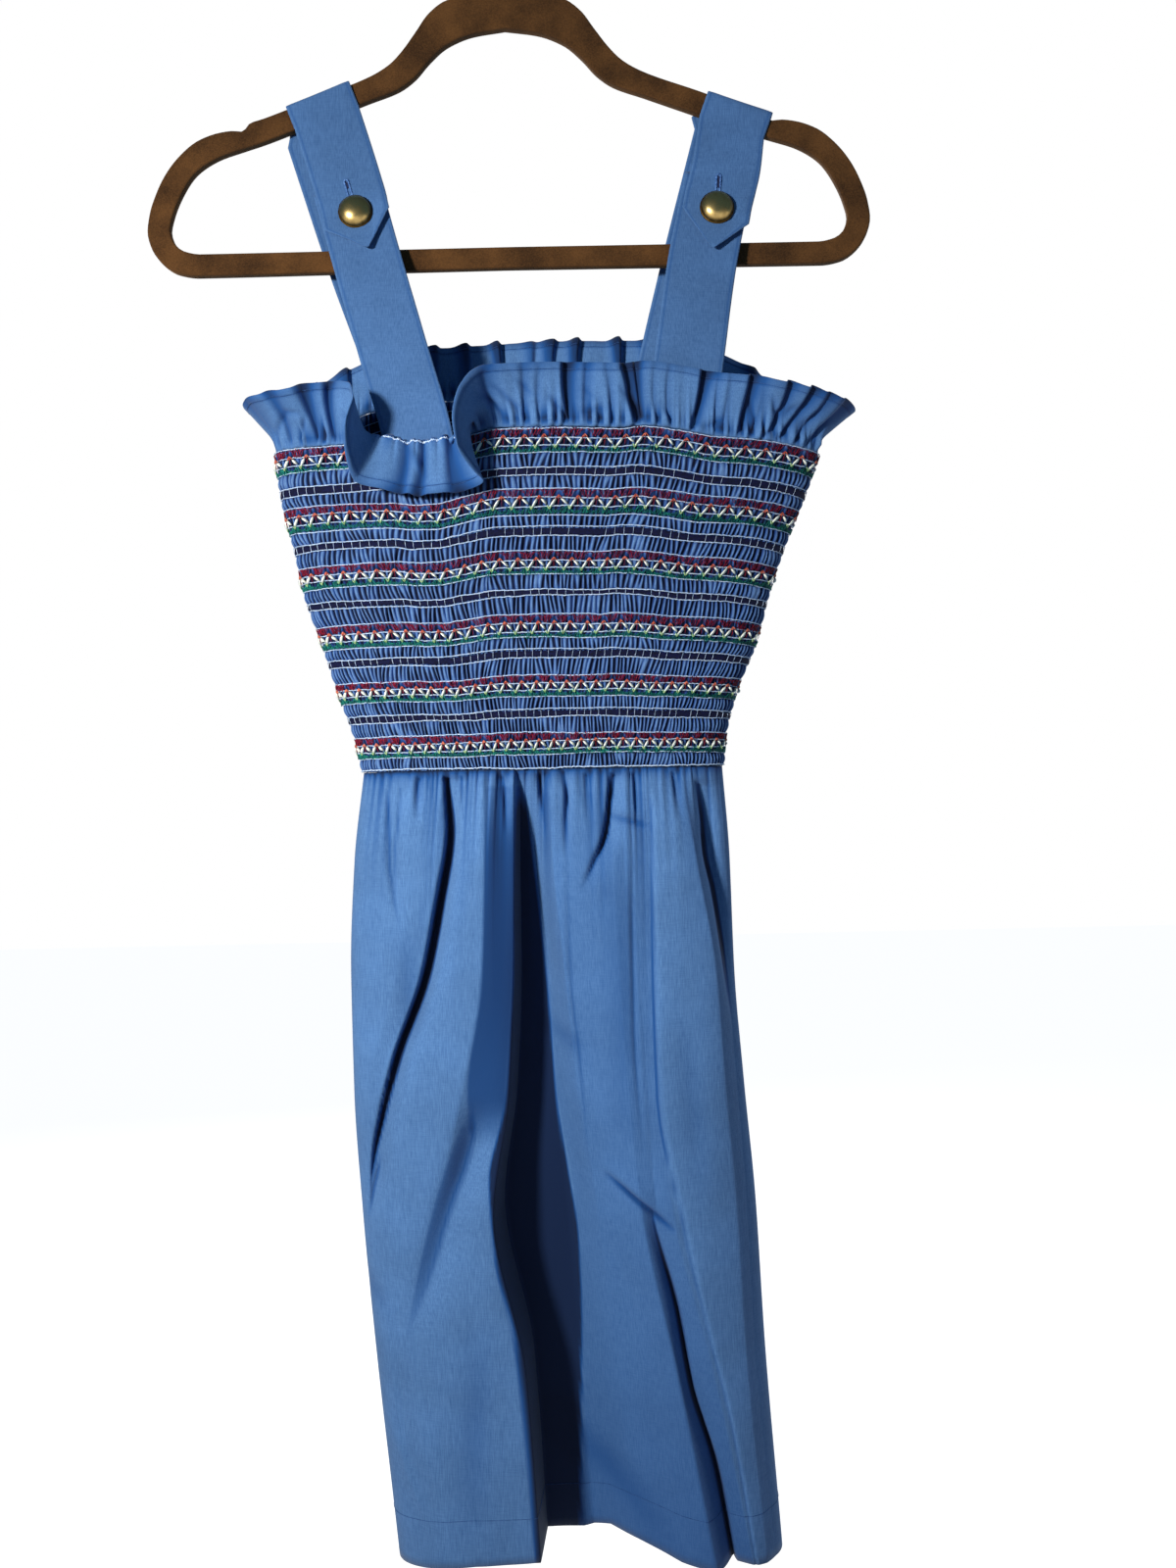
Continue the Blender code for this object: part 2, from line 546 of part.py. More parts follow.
# Dome buttons with a shank through the tab's slot
for hand, name in (("left", "button_left"), ("right", "button_right")):
    place, drop = BUTTON_PLACE[hand]
    x = place * MM
    y = tab_depth(x, drop * MM, 150 * MM)
    slope = (tab_depth(x, (drop + 4) * MM, 150 * MM) - tab_depth(x, (drop - 4) * MM, 150 * MM)) / (8 * MM)
    back = CLOTH / 2 + 0.5 * MM
    end = -(CLOTH / 2 + 0.4 * GAP)
    radius = BUTTON_DIAMETER / 2
    profile = [(0, back + BUTTON_HEIGHT)]
    for i in range(1, 7):
        angle = i / 6 * math.pi / 2
        profile.append((radius * math.sin(angle), back + 1.6 * MM + (BUTTON_HEIGHT - 1.6 * MM) * math.cos(angle)))
    profile += [(radius + 0.25 * MM, back + 0.9 * MM), (radius - 0.5 * MM, back), (SHANK_DIAMETER / 2, back)]
    profile += [(SHANK_DIAMETER / 2, end), (0, end)]
    mesh = bpy.data.meshes.new(name)
    mesh.from_pydata([(px, 0, pz) for px, pz in profile], [(i, i + 1) for i in range(len(profile) - 1)], [])
    obj = add_object(name, mesh, brass, smooth_faces=False)
    screw = obj.modifiers.new("turn", "SCREW")
    screw.steps = 20
    screw.render_steps = 20
    screw.use_merge_vertices = True
    screw.merge_threshold = 0.00005
    screw.use_smooth_shade = True
    obj.location = (x, y, -drop * MM)
    obj.rotation_euler = (math.pi / 2 - math.atan(-slope), 0, 0)

# Hanger: one flat outline with an opening, symmetric about its middle
outline = bpy.data.curves.new("hanger", "CURVE")
outline.dimensions = "2D"
outline.fill_mode = "BOTH"
outline.extrude = HANGER_THICKNESS / 2
for table, middle_top, middle_low in ((HANGER_OUTER, ARCH_TOP, BAR_BOTTOM), (HANGER_INNER, ARCH_INSIDE, BAR_TOP)):
    right = list(zip(table["x"], table["drop"]))
    points = [(0, middle_top)] + right + [(0, middle_low)] + [(-x, drop) for x, drop in right[::-1]]
    spline = outline.splines.new("POLY")
    spline.points.add(len(points) - 1)
    for target, (x, drop) in zip(spline.points, points):
        target.co = (x * MM, -drop * MM, 0, 1)
    spline.use_cyclic_u = True
hanger = bpy.data.objects.new("hanger", outline)
dress.objects.link(hanger)
outline.materials.append(flock)
hanger.rotation_euler = (math.pi / 2, 0, 0)

# Hook: a wire that leaves the arch's top, swings right and closes over the origin
wire = bpy.data.curves.new("hanger_hook", "CURVE")
wire.dimensions = "3D"
wire.bevel_depth = HOOK_WIRE / 2
wire.bevel_resolution = 2
wire.use_fill_caps = True
ring = HOOK_INSIDE + HOOK_WIRE / 2
centre = -HOOK_INSIDE
stem = [(0, -ARCH_TOP * MM + GAP), (0, -58 * MM), (2 * MM, -51 * MM), (7.5 * MM, -44.5 * MM), (14 * MM, -37.5 * MM)]
arc = []
for i in range(19):
    angle = math.radians(-28 + i * 12.4)
    arc.append((ring * math.cos(angle), centre + ring * math.sin(angle)))
path = stem + arc
spline = wire.splines.new("POLY")
spline.points.add(len(path) - 1)
for target, (x, z) in zip(spline.points, path):
    target.co = (x, 0, z, 1)
hook = bpy.data.objects.new("hanger_hook", wire)
dress.objects.link(hook)
wire.materials.append(steel)
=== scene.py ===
import math

import bpy
import numpy as np
from mathutils import Matrix, Vector


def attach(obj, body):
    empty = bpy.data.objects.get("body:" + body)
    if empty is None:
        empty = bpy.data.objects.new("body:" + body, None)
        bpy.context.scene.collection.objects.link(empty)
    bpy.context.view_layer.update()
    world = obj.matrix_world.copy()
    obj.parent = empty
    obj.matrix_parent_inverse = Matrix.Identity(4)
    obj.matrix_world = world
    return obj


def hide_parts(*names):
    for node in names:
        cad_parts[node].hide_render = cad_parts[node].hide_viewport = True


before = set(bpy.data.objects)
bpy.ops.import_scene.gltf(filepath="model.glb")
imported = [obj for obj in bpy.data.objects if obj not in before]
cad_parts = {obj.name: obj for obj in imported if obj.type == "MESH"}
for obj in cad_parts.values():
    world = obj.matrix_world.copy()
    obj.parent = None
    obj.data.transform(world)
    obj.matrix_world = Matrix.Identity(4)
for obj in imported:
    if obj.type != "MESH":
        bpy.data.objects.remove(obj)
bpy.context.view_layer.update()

# Smocked panels: plain cotton drawn up by eleven rows of stitching into fine upright pleats,
# front and back, sewn to each other at the sides. The stitches hold the pleats flat at the
# rows and let them puff out between, and each pleat leans its own way.

# In every table a "drop" is mm below the inside of the hook's top, side -1 is the front and 1
# the back, and a "way" is the share of a panel's run from its seam at the left to the right one.
MM = 0.001
WAIST = 545.0
PLEATS = 103
PLEAT_POINTS = 6
STARS = 29
OVAL = 2.3
SEAM_OUT = 0.02
TOP_EDGE = {
    -1: ((-1.0, -0.70, -0.57, -0.48, -0.40, -0.33, -0.15, 0.05, 0.27, 0.35, 0.48, 0.62, 0.77, 1.0),
         (348.5, 348.5, 349, 351.3, 351.3, 348.7, 342.2, 342, 343.3, 342.2, 344.7, 349, 350.5, 356)),
    1: ((-1.0, -0.84, -0.54, -0.10, 0.25, 0.60, 0.84, 1.0),
        (348.5, 330, 312, 308, 308, 315, 332, 356)),
}
BODICE = {
    "level": (0.0, 0.15, 0.30, 0.45, 0.60, 0.75, 0.90, 1.0),
    "left": (-146, -142, -135, -129, -119, -110, -100, -96),
    "right": (187, 176, 164, 154, 146, 134, 126, 124),
    "depth": (31, 32, 33, 34, 34, 34, 34, 34),
}
# coloured bands and navy ladders, as shares of the way down from the top edge to the waist
COLOUR_BANDS = ((0.0, 0.076), (0.181, 0.256), (0.365, 0.435), (0.550, 0.620), (0.725, 0.790),
                (0.895, 0.960))
NAVY_BANDS = ((0.118, 0.145), (0.296, 0.320), (0.475, 0.495), (0.655, 0.676), (0.830, 0.851))


def linear(code):
    """sRGB hex to a linear colour."""
    parts = [int(code[i:i + 2], 16) / 255 for i in (1, 3, 5)]
    return tuple(v / 12.92 if v <= 0.04045 else ((v + 0.055) / 1.055) ** 2.4 for v in parts) + (1.0,)


def smooth(knots, values, at):
    """Curve through a table's values that never overshoots them."""
    knots = np.asarray(knots, float)
    values = np.asarray(values, float)
    at = np.clip(np.asarray(at, float), knots[0], knots[-1])
    step = np.diff(knots)
    slope = np.diff(values) / step
    tangent = np.zeros_like(values)
    tangent[0] = slope[0]
    tangent[-1] = slope[-1]
    for i in range(1, len(knots) - 1):
        if slope[i - 1] * slope[i] > 0:
            tangent[i] = 2 * slope[i - 1] * slope[i] / (slope[i - 1] + slope[i])
    i = np.clip(np.searchsorted(knots, at, side="right") - 1, 0, len(step) - 1)
    h = step[i]
    t = (at - knots[i]) / h
    low = (1 + 2 * t) * (1 - t) ** 2 * values[i] + t * (1 - t) ** 2 * h * tangent[i]
    high = t * t * (3 - 2 * t) * values[i + 1] + t * t * (t - 1) * h * tangent[i + 1]
    return low + high


def oval_depth(across):
    """How far the oval plan stands out at a place from -1 to 1 across it."""
    return np.maximum(1 - np.abs(across) ** OVAL, 0) ** (1 / OVAL)


# the oval's run, which turns a way into a place across; its top is 32 mm deep and 166 mm to a side
oval_angle = np.linspace(-math.pi / 2, math.pi / 2, 4001)
oval_x = np.sign(np.sin(oval_angle)) * np.abs(np.sin(oval_angle)) ** (2 / OVAL)
oval_y = 32 / 166 * np.abs(np.cos(oval_angle)) ** (2 / OVAL)
oval_run = np.concatenate(([0], np.cumsum(np.hypot(np.diff(oval_x), np.diff(oval_y)))))


def bodice_size(level):
    return (float(smooth(BODICE["level"], BODICE[key], level)) for key in ("left", "right", "depth"))


def bodice_row(side, level, way):
    """Middle of the smocked wall along one level: points in mm and normals in plan."""
    across = np.interp(way, oval_run / oval_run[-1], oval_x)
    left, right, depth = bodice_size(level)
    x = (left + right) / 2 + (right - left) / 2 * across
    y = side * (depth * oval_depth(across) + 0.15)
    top = smooth(*TOP_EDGE[side], across)
    z = -(top + (WAIST - top) * level)
    dx = np.gradient(x)
    dy = np.gradient(y)
    size = np.hypot(dx, dy) + 1e-9
    return x, y, z, -side * dy / size, side * dx / size


def raised(row, lift):
    """A bodice row's points at a height above the wall's middle, and their normals."""
    x, y, z, nx, ny = row
    normals = np.column_stack((nx, ny, np.zeros_like(nx)))
    return np.column_stack((x + nx * lift, y + ny * lift, z)), normals


def noise_table(seed, rows, columns):
    return np.random.RandomState(seed).uniform(-1, 1, (rows, columns))


def node_material(name):
    material = bpy.data.materials.new(name)
    material.use_nodes = True
    return material, material.node_tree, material.node_tree.nodes["Principled BSDF"]


def set_inputs(tree, target, **inputs):
    """Give a node's inputs their values or (node, output) links; _0 is its first input."""
    for key, value in inputs.items():
        socket = target.inputs[int(key[1:]) if key[0] == "_" else key.replace("_", " ")]
        if isinstance(value, tuple) and hasattr(value[0], "outputs"):
            tree.links.new(value[0].outputs[value[1]], socket)
        else:
            socket.default_value = value


def node(tree, kind, settings=None, **inputs):
    """Add one shader node with its settings, values and links."""
    made = tree.nodes.new(kind)
    for key, value in (settings or {}).items():
        setattr(made, key, value)
    set_inputs(tree, made, **inputs)
    return made


MIX = {"data_type": "RGBA"}
SUM = {"operation": "MULTIPLY_ADD"}


def chambray(name, light, dark, middle, shade):
    """Plain woven cotton: pale and dark yarns, long slubs both ways. It carries painted shade:
    where folds close in, a value at each point takes it through a clear deep blue (middle) to navy (shade)."""
    material, tree, shader = node_material(name)
    place = (node(tree, "ShaderNodeTexCoord"), "Object")
    # 2.3 warp and 2.1 weft yarns a mm, coarser than the real three or four so that they show,
    # with slubs 6 to 8 mm long
    warp = node(tree, "ShaderNodeMapping", Vector=place, Scale=(2300, 2300, 130))
    weft = node(tree, "ShaderNodeMapping", Vector=place, Scale=(160, 160, 2100))
    ups = node(tree, "ShaderNodeTexNoise", Vector=(warp, "Vector"), Scale=1.0, Detail=2.0)
    overs = node(tree, "ShaderNodeTexNoise", Vector=(weft, "Vector"), Scale=1.0, Detail=2.0)
    yarn = node(tree, "ShaderNodeMath", SUM, _0=(overs, "Fac"), _1=0.42, _2=(ups, "Fac"))
    tone = node(tree, "ShaderNodeMapRange", Value=(yarn, "Value"), From_Min=0.42, From_Max=1.0)
    woven = node(tree, "ShaderNodeMix", MIX, _0=(tone, "Result"), _6=linear(dark), _7=linear(light))
    cloud = node(tree, "ShaderNodeTexNoise", Vector=place, Scale=26.0, Detail=3.0)
    patch = node(tree, "ShaderNodeMapRange", Value=(cloud, "Fac"), From_Min=0.3, From_Max=0.7,
                 To_Min=0.90, To_Max=1.08)
    worn = node(tree, "ShaderNodeMix", {"data_type": "RGBA", "blend_type": "MULTIPLY"}, _0=1.0,
                _6=(woven, 2), _7=(patch, "Result"))
    painted_shade_and_tarnish = (node(tree, "ShaderNodeAttribute", {"attribute_name": "painted_shade_and_tarnish"}), "Fac")
    # painted shade: the first half of the value turns the cloth a clear deep blue, the second half navy
    half_shade_share = node(tree, "ShaderNodeMapRange", Value=painted_shade_and_tarnish, From_Min=0.0, From_Max=0.5)
    deep = node(tree, "ShaderNodeMapRange", Value=painted_shade_and_tarnish, From_Min=0.5, From_Max=1.0)
    half = node(tree, "ShaderNodeMix", MIX, _0=(half_shade_share, "Result"), _6=(worn, 2), _7=linear(middle))
    full = node(tree, "ShaderNodeMix", MIX, _0=(deep, "Result"), _6=(half, 2), _7=linear(shade))
    bump = node(tree, "ShaderNodeBump", Height=(yarn, "Value"), Strength=0.25, Distance=0.0002)
    set_inputs(tree, shader, Base_Color=(full, 2), Normal=(bump, "Normal"), Roughness=0.86,
               Specular_IOR_Level=0.18, Sheen_Weight=0.12, Sheen_Roughness=0.5)
    return material


def add_mesh(name, points, faces, material, attribute=None):
    mesh = bpy.data.meshes.new(name)
    mesh.from_pydata(np.asarray(points, float).reshape(-1, 3).tolist(), [], faces)
    mesh.materials.append(material)
    mesh.shade_smooth()
    if attribute is not None:
        # each point's value: painted shade on the cloth, tarnish on the brass buttons
        layer = mesh.attributes.new("painted_shade_and_tarnish", "FLOAT", "POINT")
        layer.data.foreach_set("value", np.asarray(attribute, float).ravel())
    made = bpy.data.objects.new(name, mesh)
    bpy.context.scene.collection.objects.link(made)
    return made


def grid_faces(rows, columns, flip=False, base=0):
    """Quads over a grid of points that starts at point number base."""
    faces = []
    for r in range(rows - 1):
        for c in range(columns - 1):
            a = base + r * columns + c
            quad = (a, a + 1, a + columns + 1, a + columns)
            faces.append(quad[::-1] if flip else quad)
    return faces


def thin_cloth(name, grid, material, thick, attribute=None, flip=False):
    """A sheet through a grid of points in mm, given its thickness by Solidify."""
    rows, columns = grid.shape[:2]
    made = add_mesh(name, grid * MM, grid_faces(rows, columns, flip), material, attribute)
    solid = made.modifiers.new("thickness", "SOLIDIFY")
    solid.thickness = thick * MM
    solid.offset = 0
    return made


def piece(made, slot, *nodes):
    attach(made, "root")
    if nodes:
        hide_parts(*nodes)
    return made


# the skirt's and ruffles' cloth, and the same cloth in the smocking with painted light and shade: paler
# yarns and deeper painted shade; the last two colours of each are the painted shade's deep blue and navy
cotton = chambray("blue_cotton", "#628CBD", "#446C9F", "#1C4F8C", "#07122E")
smocked_cotton = chambray("smocked_blue_cotton", "#7699C6", "#4A6FA4", "#1A4080", "#040A26")

# rows of points down the panel: more of them in the open stretches, where the pleats puff out
stops = sorted({edge for band in COLOUR_BANDS + NAVY_BANDS for edge in band} | {1.0})
levels = []
for low, high in zip(stops[:-1], stops[1:]):
    if (low, high) in COLOUR_BANDS:
        shares = (0, 0.36, 0.69)
    else:
        shares = (0, 0.33, 0.67) if (low, high) in NAVY_BANDS else (0, 0.2, 0.4, 0.6, 0.8)
    levels += [low + (high - low) * share for share in shares]
levels.append(1.0)


def row_table(seed, own, shared):
    """A value for each pleat at each row of stitches, partly its own and partly its neighbours'."""
    single = noise_table(seed, len(stops), PLEATS + 2) * own
    groups = noise_table(seed + 200, len(stops), PLEATS // 4 + 3) * shared
    places = np.arange(PLEATS + 2) / 4
    return single + np.array([np.interp(places, np.arange(len(row)), row) for row in groups])


leans = {side: row_table(11 + side, 0.30, 0.55) for side in (-1, 1)}
furrows = {side: row_table(31 + side, 0.72, 0.30) for side in (-1, 1)}


def pleats_at(side, level):
    """Along one level: each point's way, its height above the wall's middle, and its painted shade."""
    row = min(int(np.searchsorted(stops, level, side="right")) - 1, len(stops) - 2)
    low, high = stops[row], stops[row + 1]
    share = (level - low) / (high - low)
    run = np.linspace(0, PLEATS, PLEATS * PLEAT_POINTS + 1)
    ends = np.clip(run / 3, 0, 1) * np.clip((PLEATS - run) / 3, 0, 1)
    lean = leans[side][row] * (1 - share) + leans[side][row + 1] * share
    way = (run + ends * np.interp(run, np.arange(PLEATS + 2), lean)) / PLEATS
    whole = np.minimum(run.astype(int), PLEATS - 1)
    part = run - whole
    depth = furrows[side][row] * (1 - share) + furrows[side][row + 1] * share
    dip = np.abs(2 * part - 1) ** 1.6 * (1.05 + np.where(part < 0.5, depth[whole], depth[whole + 1]))
    # painted shade: in the coloured bands the cloth darkens near each star, at stitched rows a little, and
    # each pleat's furrow goes navy
    if (low, high) in COLOUR_BANDS:
        puff = 0.0
        near_star = 0.5 - 0.5 * np.cos(way * 2 * math.pi * STARS)
        dark = 0.08 + 0.85 * near_star * (share > 0.2)
    else:
        puff = 0.0 if (low, high) in NAVY_BANDS else math.sin(math.pi * share)
        dark = 0.2 * (1 - puff)
    height = 0.75 + 1.25 * puff - (0.95 + 1.15 * puff) * dip
    shade = dark + np.clip((dip - 0.12) * 2.4, 0, 1) * (0.85 + 0.12 * puff)
    return way, height, np.clip(shade, 0, 0.97)


for side, title in ((-1, "smocked_front"), (1, "smocked_back")):
    rows = []
    shades = []
    for level in levels:
        way, height, shade = pleats_at(side, level)
        height[[0, -1]] = 0.6
        row = raised(bodice_row(side, level, way), height)[0]
        row[[0, -1], 1] = side * SEAM_OUT
        rows.append(row)
        shades.append(shade)
    panel = add_mesh(title, np.array(rows) * MM, grid_faces(len(rows), len(way), side > 0), smocked_cotton,
                     np.array(shades))
    piece(panel, "smocked_cotton", "bodice_front" if side < 0 else "bodice_back")


# Smocking stitches: white elastic-drawn lines at each row, crimson and teal zigzags and
# cream star stitches with orange tips between them, and navy satin between white ladders.
# They are thick cotton threads lying on top of the pleats, and bare white runs inside.

def thread_material(name, colour, deep, roughness=0.62):
    """Twisted thread: a slight change of tone along it and a soft shine."""
    material, tree, shader = node_material(name)
    place = (node(tree, "ShaderNodeTexCoord"), "Object")
    twist = node(tree, "ShaderNodeTexNoise", Vector=place, Scale=900.0, Detail=1.0)
    tone = node(tree, "ShaderNodeMapRange", Value=(twist, "Fac"), From_Min=0.35, From_Max=0.65)
    dyed = node(tree, "ShaderNodeMix", MIX, _0=(tone, "Result"), _6=linear(deep), _7=linear(colour))
    bump = node(tree, "ShaderNodeBump", Height=(twist, "Fac"), Strength=0.4, Distance=0.0002)
    set_inputs(tree, shader, Base_Color=(dyed, 2), Normal=(bump, "Normal"), Roughness=roughness,
               Specular_IOR_Level=0.2)
    return material


white_thread = thread_material("white_thread", "#E6F1FF", "#B4D0F4")
crimson_thread = thread_material("crimson_thread", "#A81A38", "#5E0E28")
orange_thread = thread_material("orange_thread", "#EC8A68", "#B8402C")
cream_thread = thread_material("cream_thread", "#FFFFF4", "#F0F2DC")
lime_thread = thread_material("yellow_green_thread", "#D8ECA8", "#8CBA74")
green_thread = thread_material("teal_green_thread", "#209680", "#0A5052")
navy_thread = thread_material("navy_thread", "#060B38", "#02051C", 0.85)


def tube_mesh(name, paths, material, sides=3):
    """Threads in one mesh: each path is points, outward normals and radii, all in mm."""
    points = []
    faces = []
    angles = 2 * math.pi * (np.arange(sides) + 0.5) / sides
    for line, normals, radii in paths:
        line = np.asarray(line, float)
        tangent = np.gradient(line, axis=0)
        tangent /= np.linalg.norm(tangent, axis=1)[:, None] + 1e-9
        across = np.cross(tangent, normals)
        across /= np.linalg.norm(across, axis=1)[:, None] + 1e-9
        up = np.cross(across, tangent)
        base = len(points)
        spokes = np.cos(angles)[:, None] * across[:, None] + np.sin(angles)[:, None] * up[:, None]
        points.extend((line[:, None] + np.asarray(radii)[:, None, None] * spokes).reshape(-1, 3))
        for k in range(len(line) - 1):
            for s in range(sides):
                a = base + k * sides + s
                b = base + k * sides + (s + 1) % sides
                faces.append((a, b, b + sides, a + sides))
        last = base + (len(line) - 1) * sides
        faces.append(tuple(range(base, base + sides))[::-1])
        faces.append(tuple(range(last, last + sides)))
    return add_mesh(name, np.array(points) * MM, faces, material)


def strand(side, ends, lifts, radii):
    """A straight run of thread between two (way, level) places, with a lift and radius for each point."""
    ways, places = (np.linspace(a, b, len(lifts)) for a, b in zip(*ends))
    points = []
    normals = []
    for way, level, lift in zip(ways, places, lifts):
        line, normal = raised(bodice_row(side, level, way + np.array((-0.002, 0, 0.002))), lift)
        points.append(line[1])
        normals.append(normal[1])
    return np.array(points), np.array(normals), np.asarray(radii, float)


# strokes of one star: colour, start and end as shares of the pitch and of the band, and radius
STAR = (
    ("orange", (0.0, 0.27), (-0.15, 0.47), 0.40), ("orange", (0.0, 0.27), (0.20, 0.43), 0.40),
    ("orange", (0.0, 0.29), (0.01, 0.44), 0.44), ("crimson", (0.02, 0.42), (0.03, 0.68), 0.24),
    ("cream", (-0.11, 0.42), (-0.37, 0.74), 1.02), ("cream", (0.15, 0.43), (0.45, 0.63), 0.96),
    ("lime", (-0.30, 0.68), (-0.40, 0.84), 0.40), ("lime", (-0.40, 0.84), (-0.50, 0.67), 0.36),
)
# zigzags: colour, their near and far edges as shares of the band, least clumping and added radius
ZIGZAGS = (("crimson", 0.04, 0.34, 0.0, 0.34), ("green", 0.98, 0.72, 0.5, 0.44))
# the navy satin's section: share of half its height, and lift
SATIN = ((-1.0, 1.15), (-0.6, 1.55), (0.0, 1.65), (0.6, 1.55), (1.0, 1.15))
LINE_RADIUS = 0.38
WAIST_LINE_RADIUS = 0.50
line_levels = []
for low, high in COLOUR_BANDS:
    line_levels += [low + 0.0005, low + (high - low) * 0.37, low + (high - low) * 0.69, high]
line_levels += [edge for band in NAVY_BANDS for edge in band] + [0.998]

for side, title in ((-1, "front"), (1, "back")):
    tosses = np.random.RandomState(71 + side)
    white = []
    inside = []
    fine = np.linspace(0.003, 0.997, PLEATS * 2 + 1)
    count = len(fine)
    odd = np.arange(count) % 2
    for level in line_levels:
        row = list(bodice_row(side, level, fine))
        lift = 1.60 - 0.32 * odd + tosses.uniform(-0.08, 0.08, count)
        sway = np.cumsum(tosses.uniform(-0.16, 0.16, count))
        sway -= np.linspace(sway[0], sway[-1], count)
        row[2] = row[2] + np.clip(sway, -0.8, 0.8) + tosses.uniform(-0.16, 0.16, count)
        line, normals = raised(row, lift)
        white.append((line, normals, np.full(count, WAIST_LINE_RADIUS if level > 0.99 else LINE_RADIUS)))
        inner = raised(row, -0.55)[0][::2]
        inside.append((inner, normals[::2], np.full(len(inner), 0.30)))
    ticks = []
    satin = []
    satin_faces = []
    for low, high in NAVY_BANDS:
        row = bodice_row(side, (low + high) / 2, fine)
        tall = (high - low) * (WAIST - 343) / 2
        satin_faces += grid_faces(len(SATIN), count, side > 0, len(satin) * count)
        for share, lift in SATIN:
            satin.append(raised(row, lift - 0.22 * odd)[0] - (0, 0, share * (tall - 0.3)))
        for k in range(2 * STARS):
            spot = (k + 0.5 + tosses.uniform(-0.09, 0.09)) * 0.5 / STARS
            slip = tosses.uniform(-0.0012, 0.0012)
            if tosses.uniform() < 0.9:
                ends = ((spot, low), (spot + slip, high))
                ticks.append(strand(side, ends, (1.6, 1.9, 1.6), (0.15, 0.17, 0.15)))
    band = add_mesh("navy_satin_" + title, np.array(satin) * MM, satin_faces, navy_thread)
    piece(band, "smocked_cotton")

    threads = {"crimson": [], "green": [], "orange": [], "cream": [], "lime": []}
    ways = np.linspace(0.004, 0.996, count)
    for low, high in COLOUR_BANDS:
        tall = high - low
        for kind, near, far, least, thick in ZIGZAGS:
            for turn in range(2):
                sway = ways + tosses.uniform(-0.0009, 0.0009, count)
                clump = 0.72 + 0.85 * np.cos(sway * 2 * math.pi * STARS) + tosses.uniform(-0.2, 0.2, count)
                clump = np.clip(clump, least, 1)
                rows = [bodice_row(side, low + tall * share, sway) for share in (near, far)]
                swing = clump * ((np.arange(count) + turn) % 2)
                row = [a + (b - a) * swing for a, b in zip(*rows)]
                row[2] = row[2] + tosses.uniform(-0.5, 0.5, count) * clump
                line, normals = raised(row, 1.1 + 0.4 * clump + tosses.uniform(-0.25, 0.3, count))
                radii = (0.12 + thick * clump) * tosses.uniform(0.75, 1.3, count)
                threads[kind].append((line, normals, radii))
        for k in range(STARS):
            middle = (k + 0.5) / STARS + tosses.uniform(-0.0014, 0.0014)
            grow = tosses.uniform(0.88, 1.1) / STARS
            for kind, start, end, thick in STAR:
                ends = [(middle + grow * way, low + tall * place) for way, place in (start, end)]
                if 0.002 < min(ends)[0] and max(ends)[0] < 0.998:
                    radii = thick * np.array((0.55, 1.0, 1.0, 0.45))
                    threads[kind].append(strand(side, ends, (1.9, 2.3, 2.3, 1.9), radii))
    for name, paths, material in (
            ("white_lines_", white, white_thread), ("white_lines_inside_", inside, white_thread),
            ("white_ladder_ticks_", ticks, white_thread),
            ("crimson_zigzag_", threads["crimson"], crimson_thread),
            ("green_zigzag_", threads["green"], green_thread),
            ("star_tips_", threads["orange"], orange_thread),
            ("star_leaves_", threads["cream"], cream_thread), ("star_feet_", threads["lime"], lime_thread)):
        piece(tube_mesh(name + title, paths, material), "smocked_cotton")


# Heading ruffles: the same cotton left free above the first row of stitches, with a narrow
# machine-stitched hem. It stands up at the front, flares at the sides, and one stretch by
# the left strap has flopped forward and hangs down over the smocking.

# how far the ruffle leans outward, in degrees, along the way
LEAN = {
    -1: ((0.0, 0.06, 0.10, 0.145, 0.178, 0.190, 0.200, 0.210, 0.222, 0.240, 0.30, 0.352, 0.367, 0.378, 0.386,
          0.400, 0.42, 0.46, 0.52, 0.66, 0.80, 0.90, 1.0),
         (42, 38, 26, 16, 28, 56, 92, 124, 148, 158, 164, 160, 156, 128, 102,
          62, 34, 20, 12, 12, 16, 34, 52)),
    1: ((0.0, 0.10, 0.25, 0.50, 0.75, 0.90, 1.0),
        (42, 26, 10, 6, 10, 30, 52)),
}
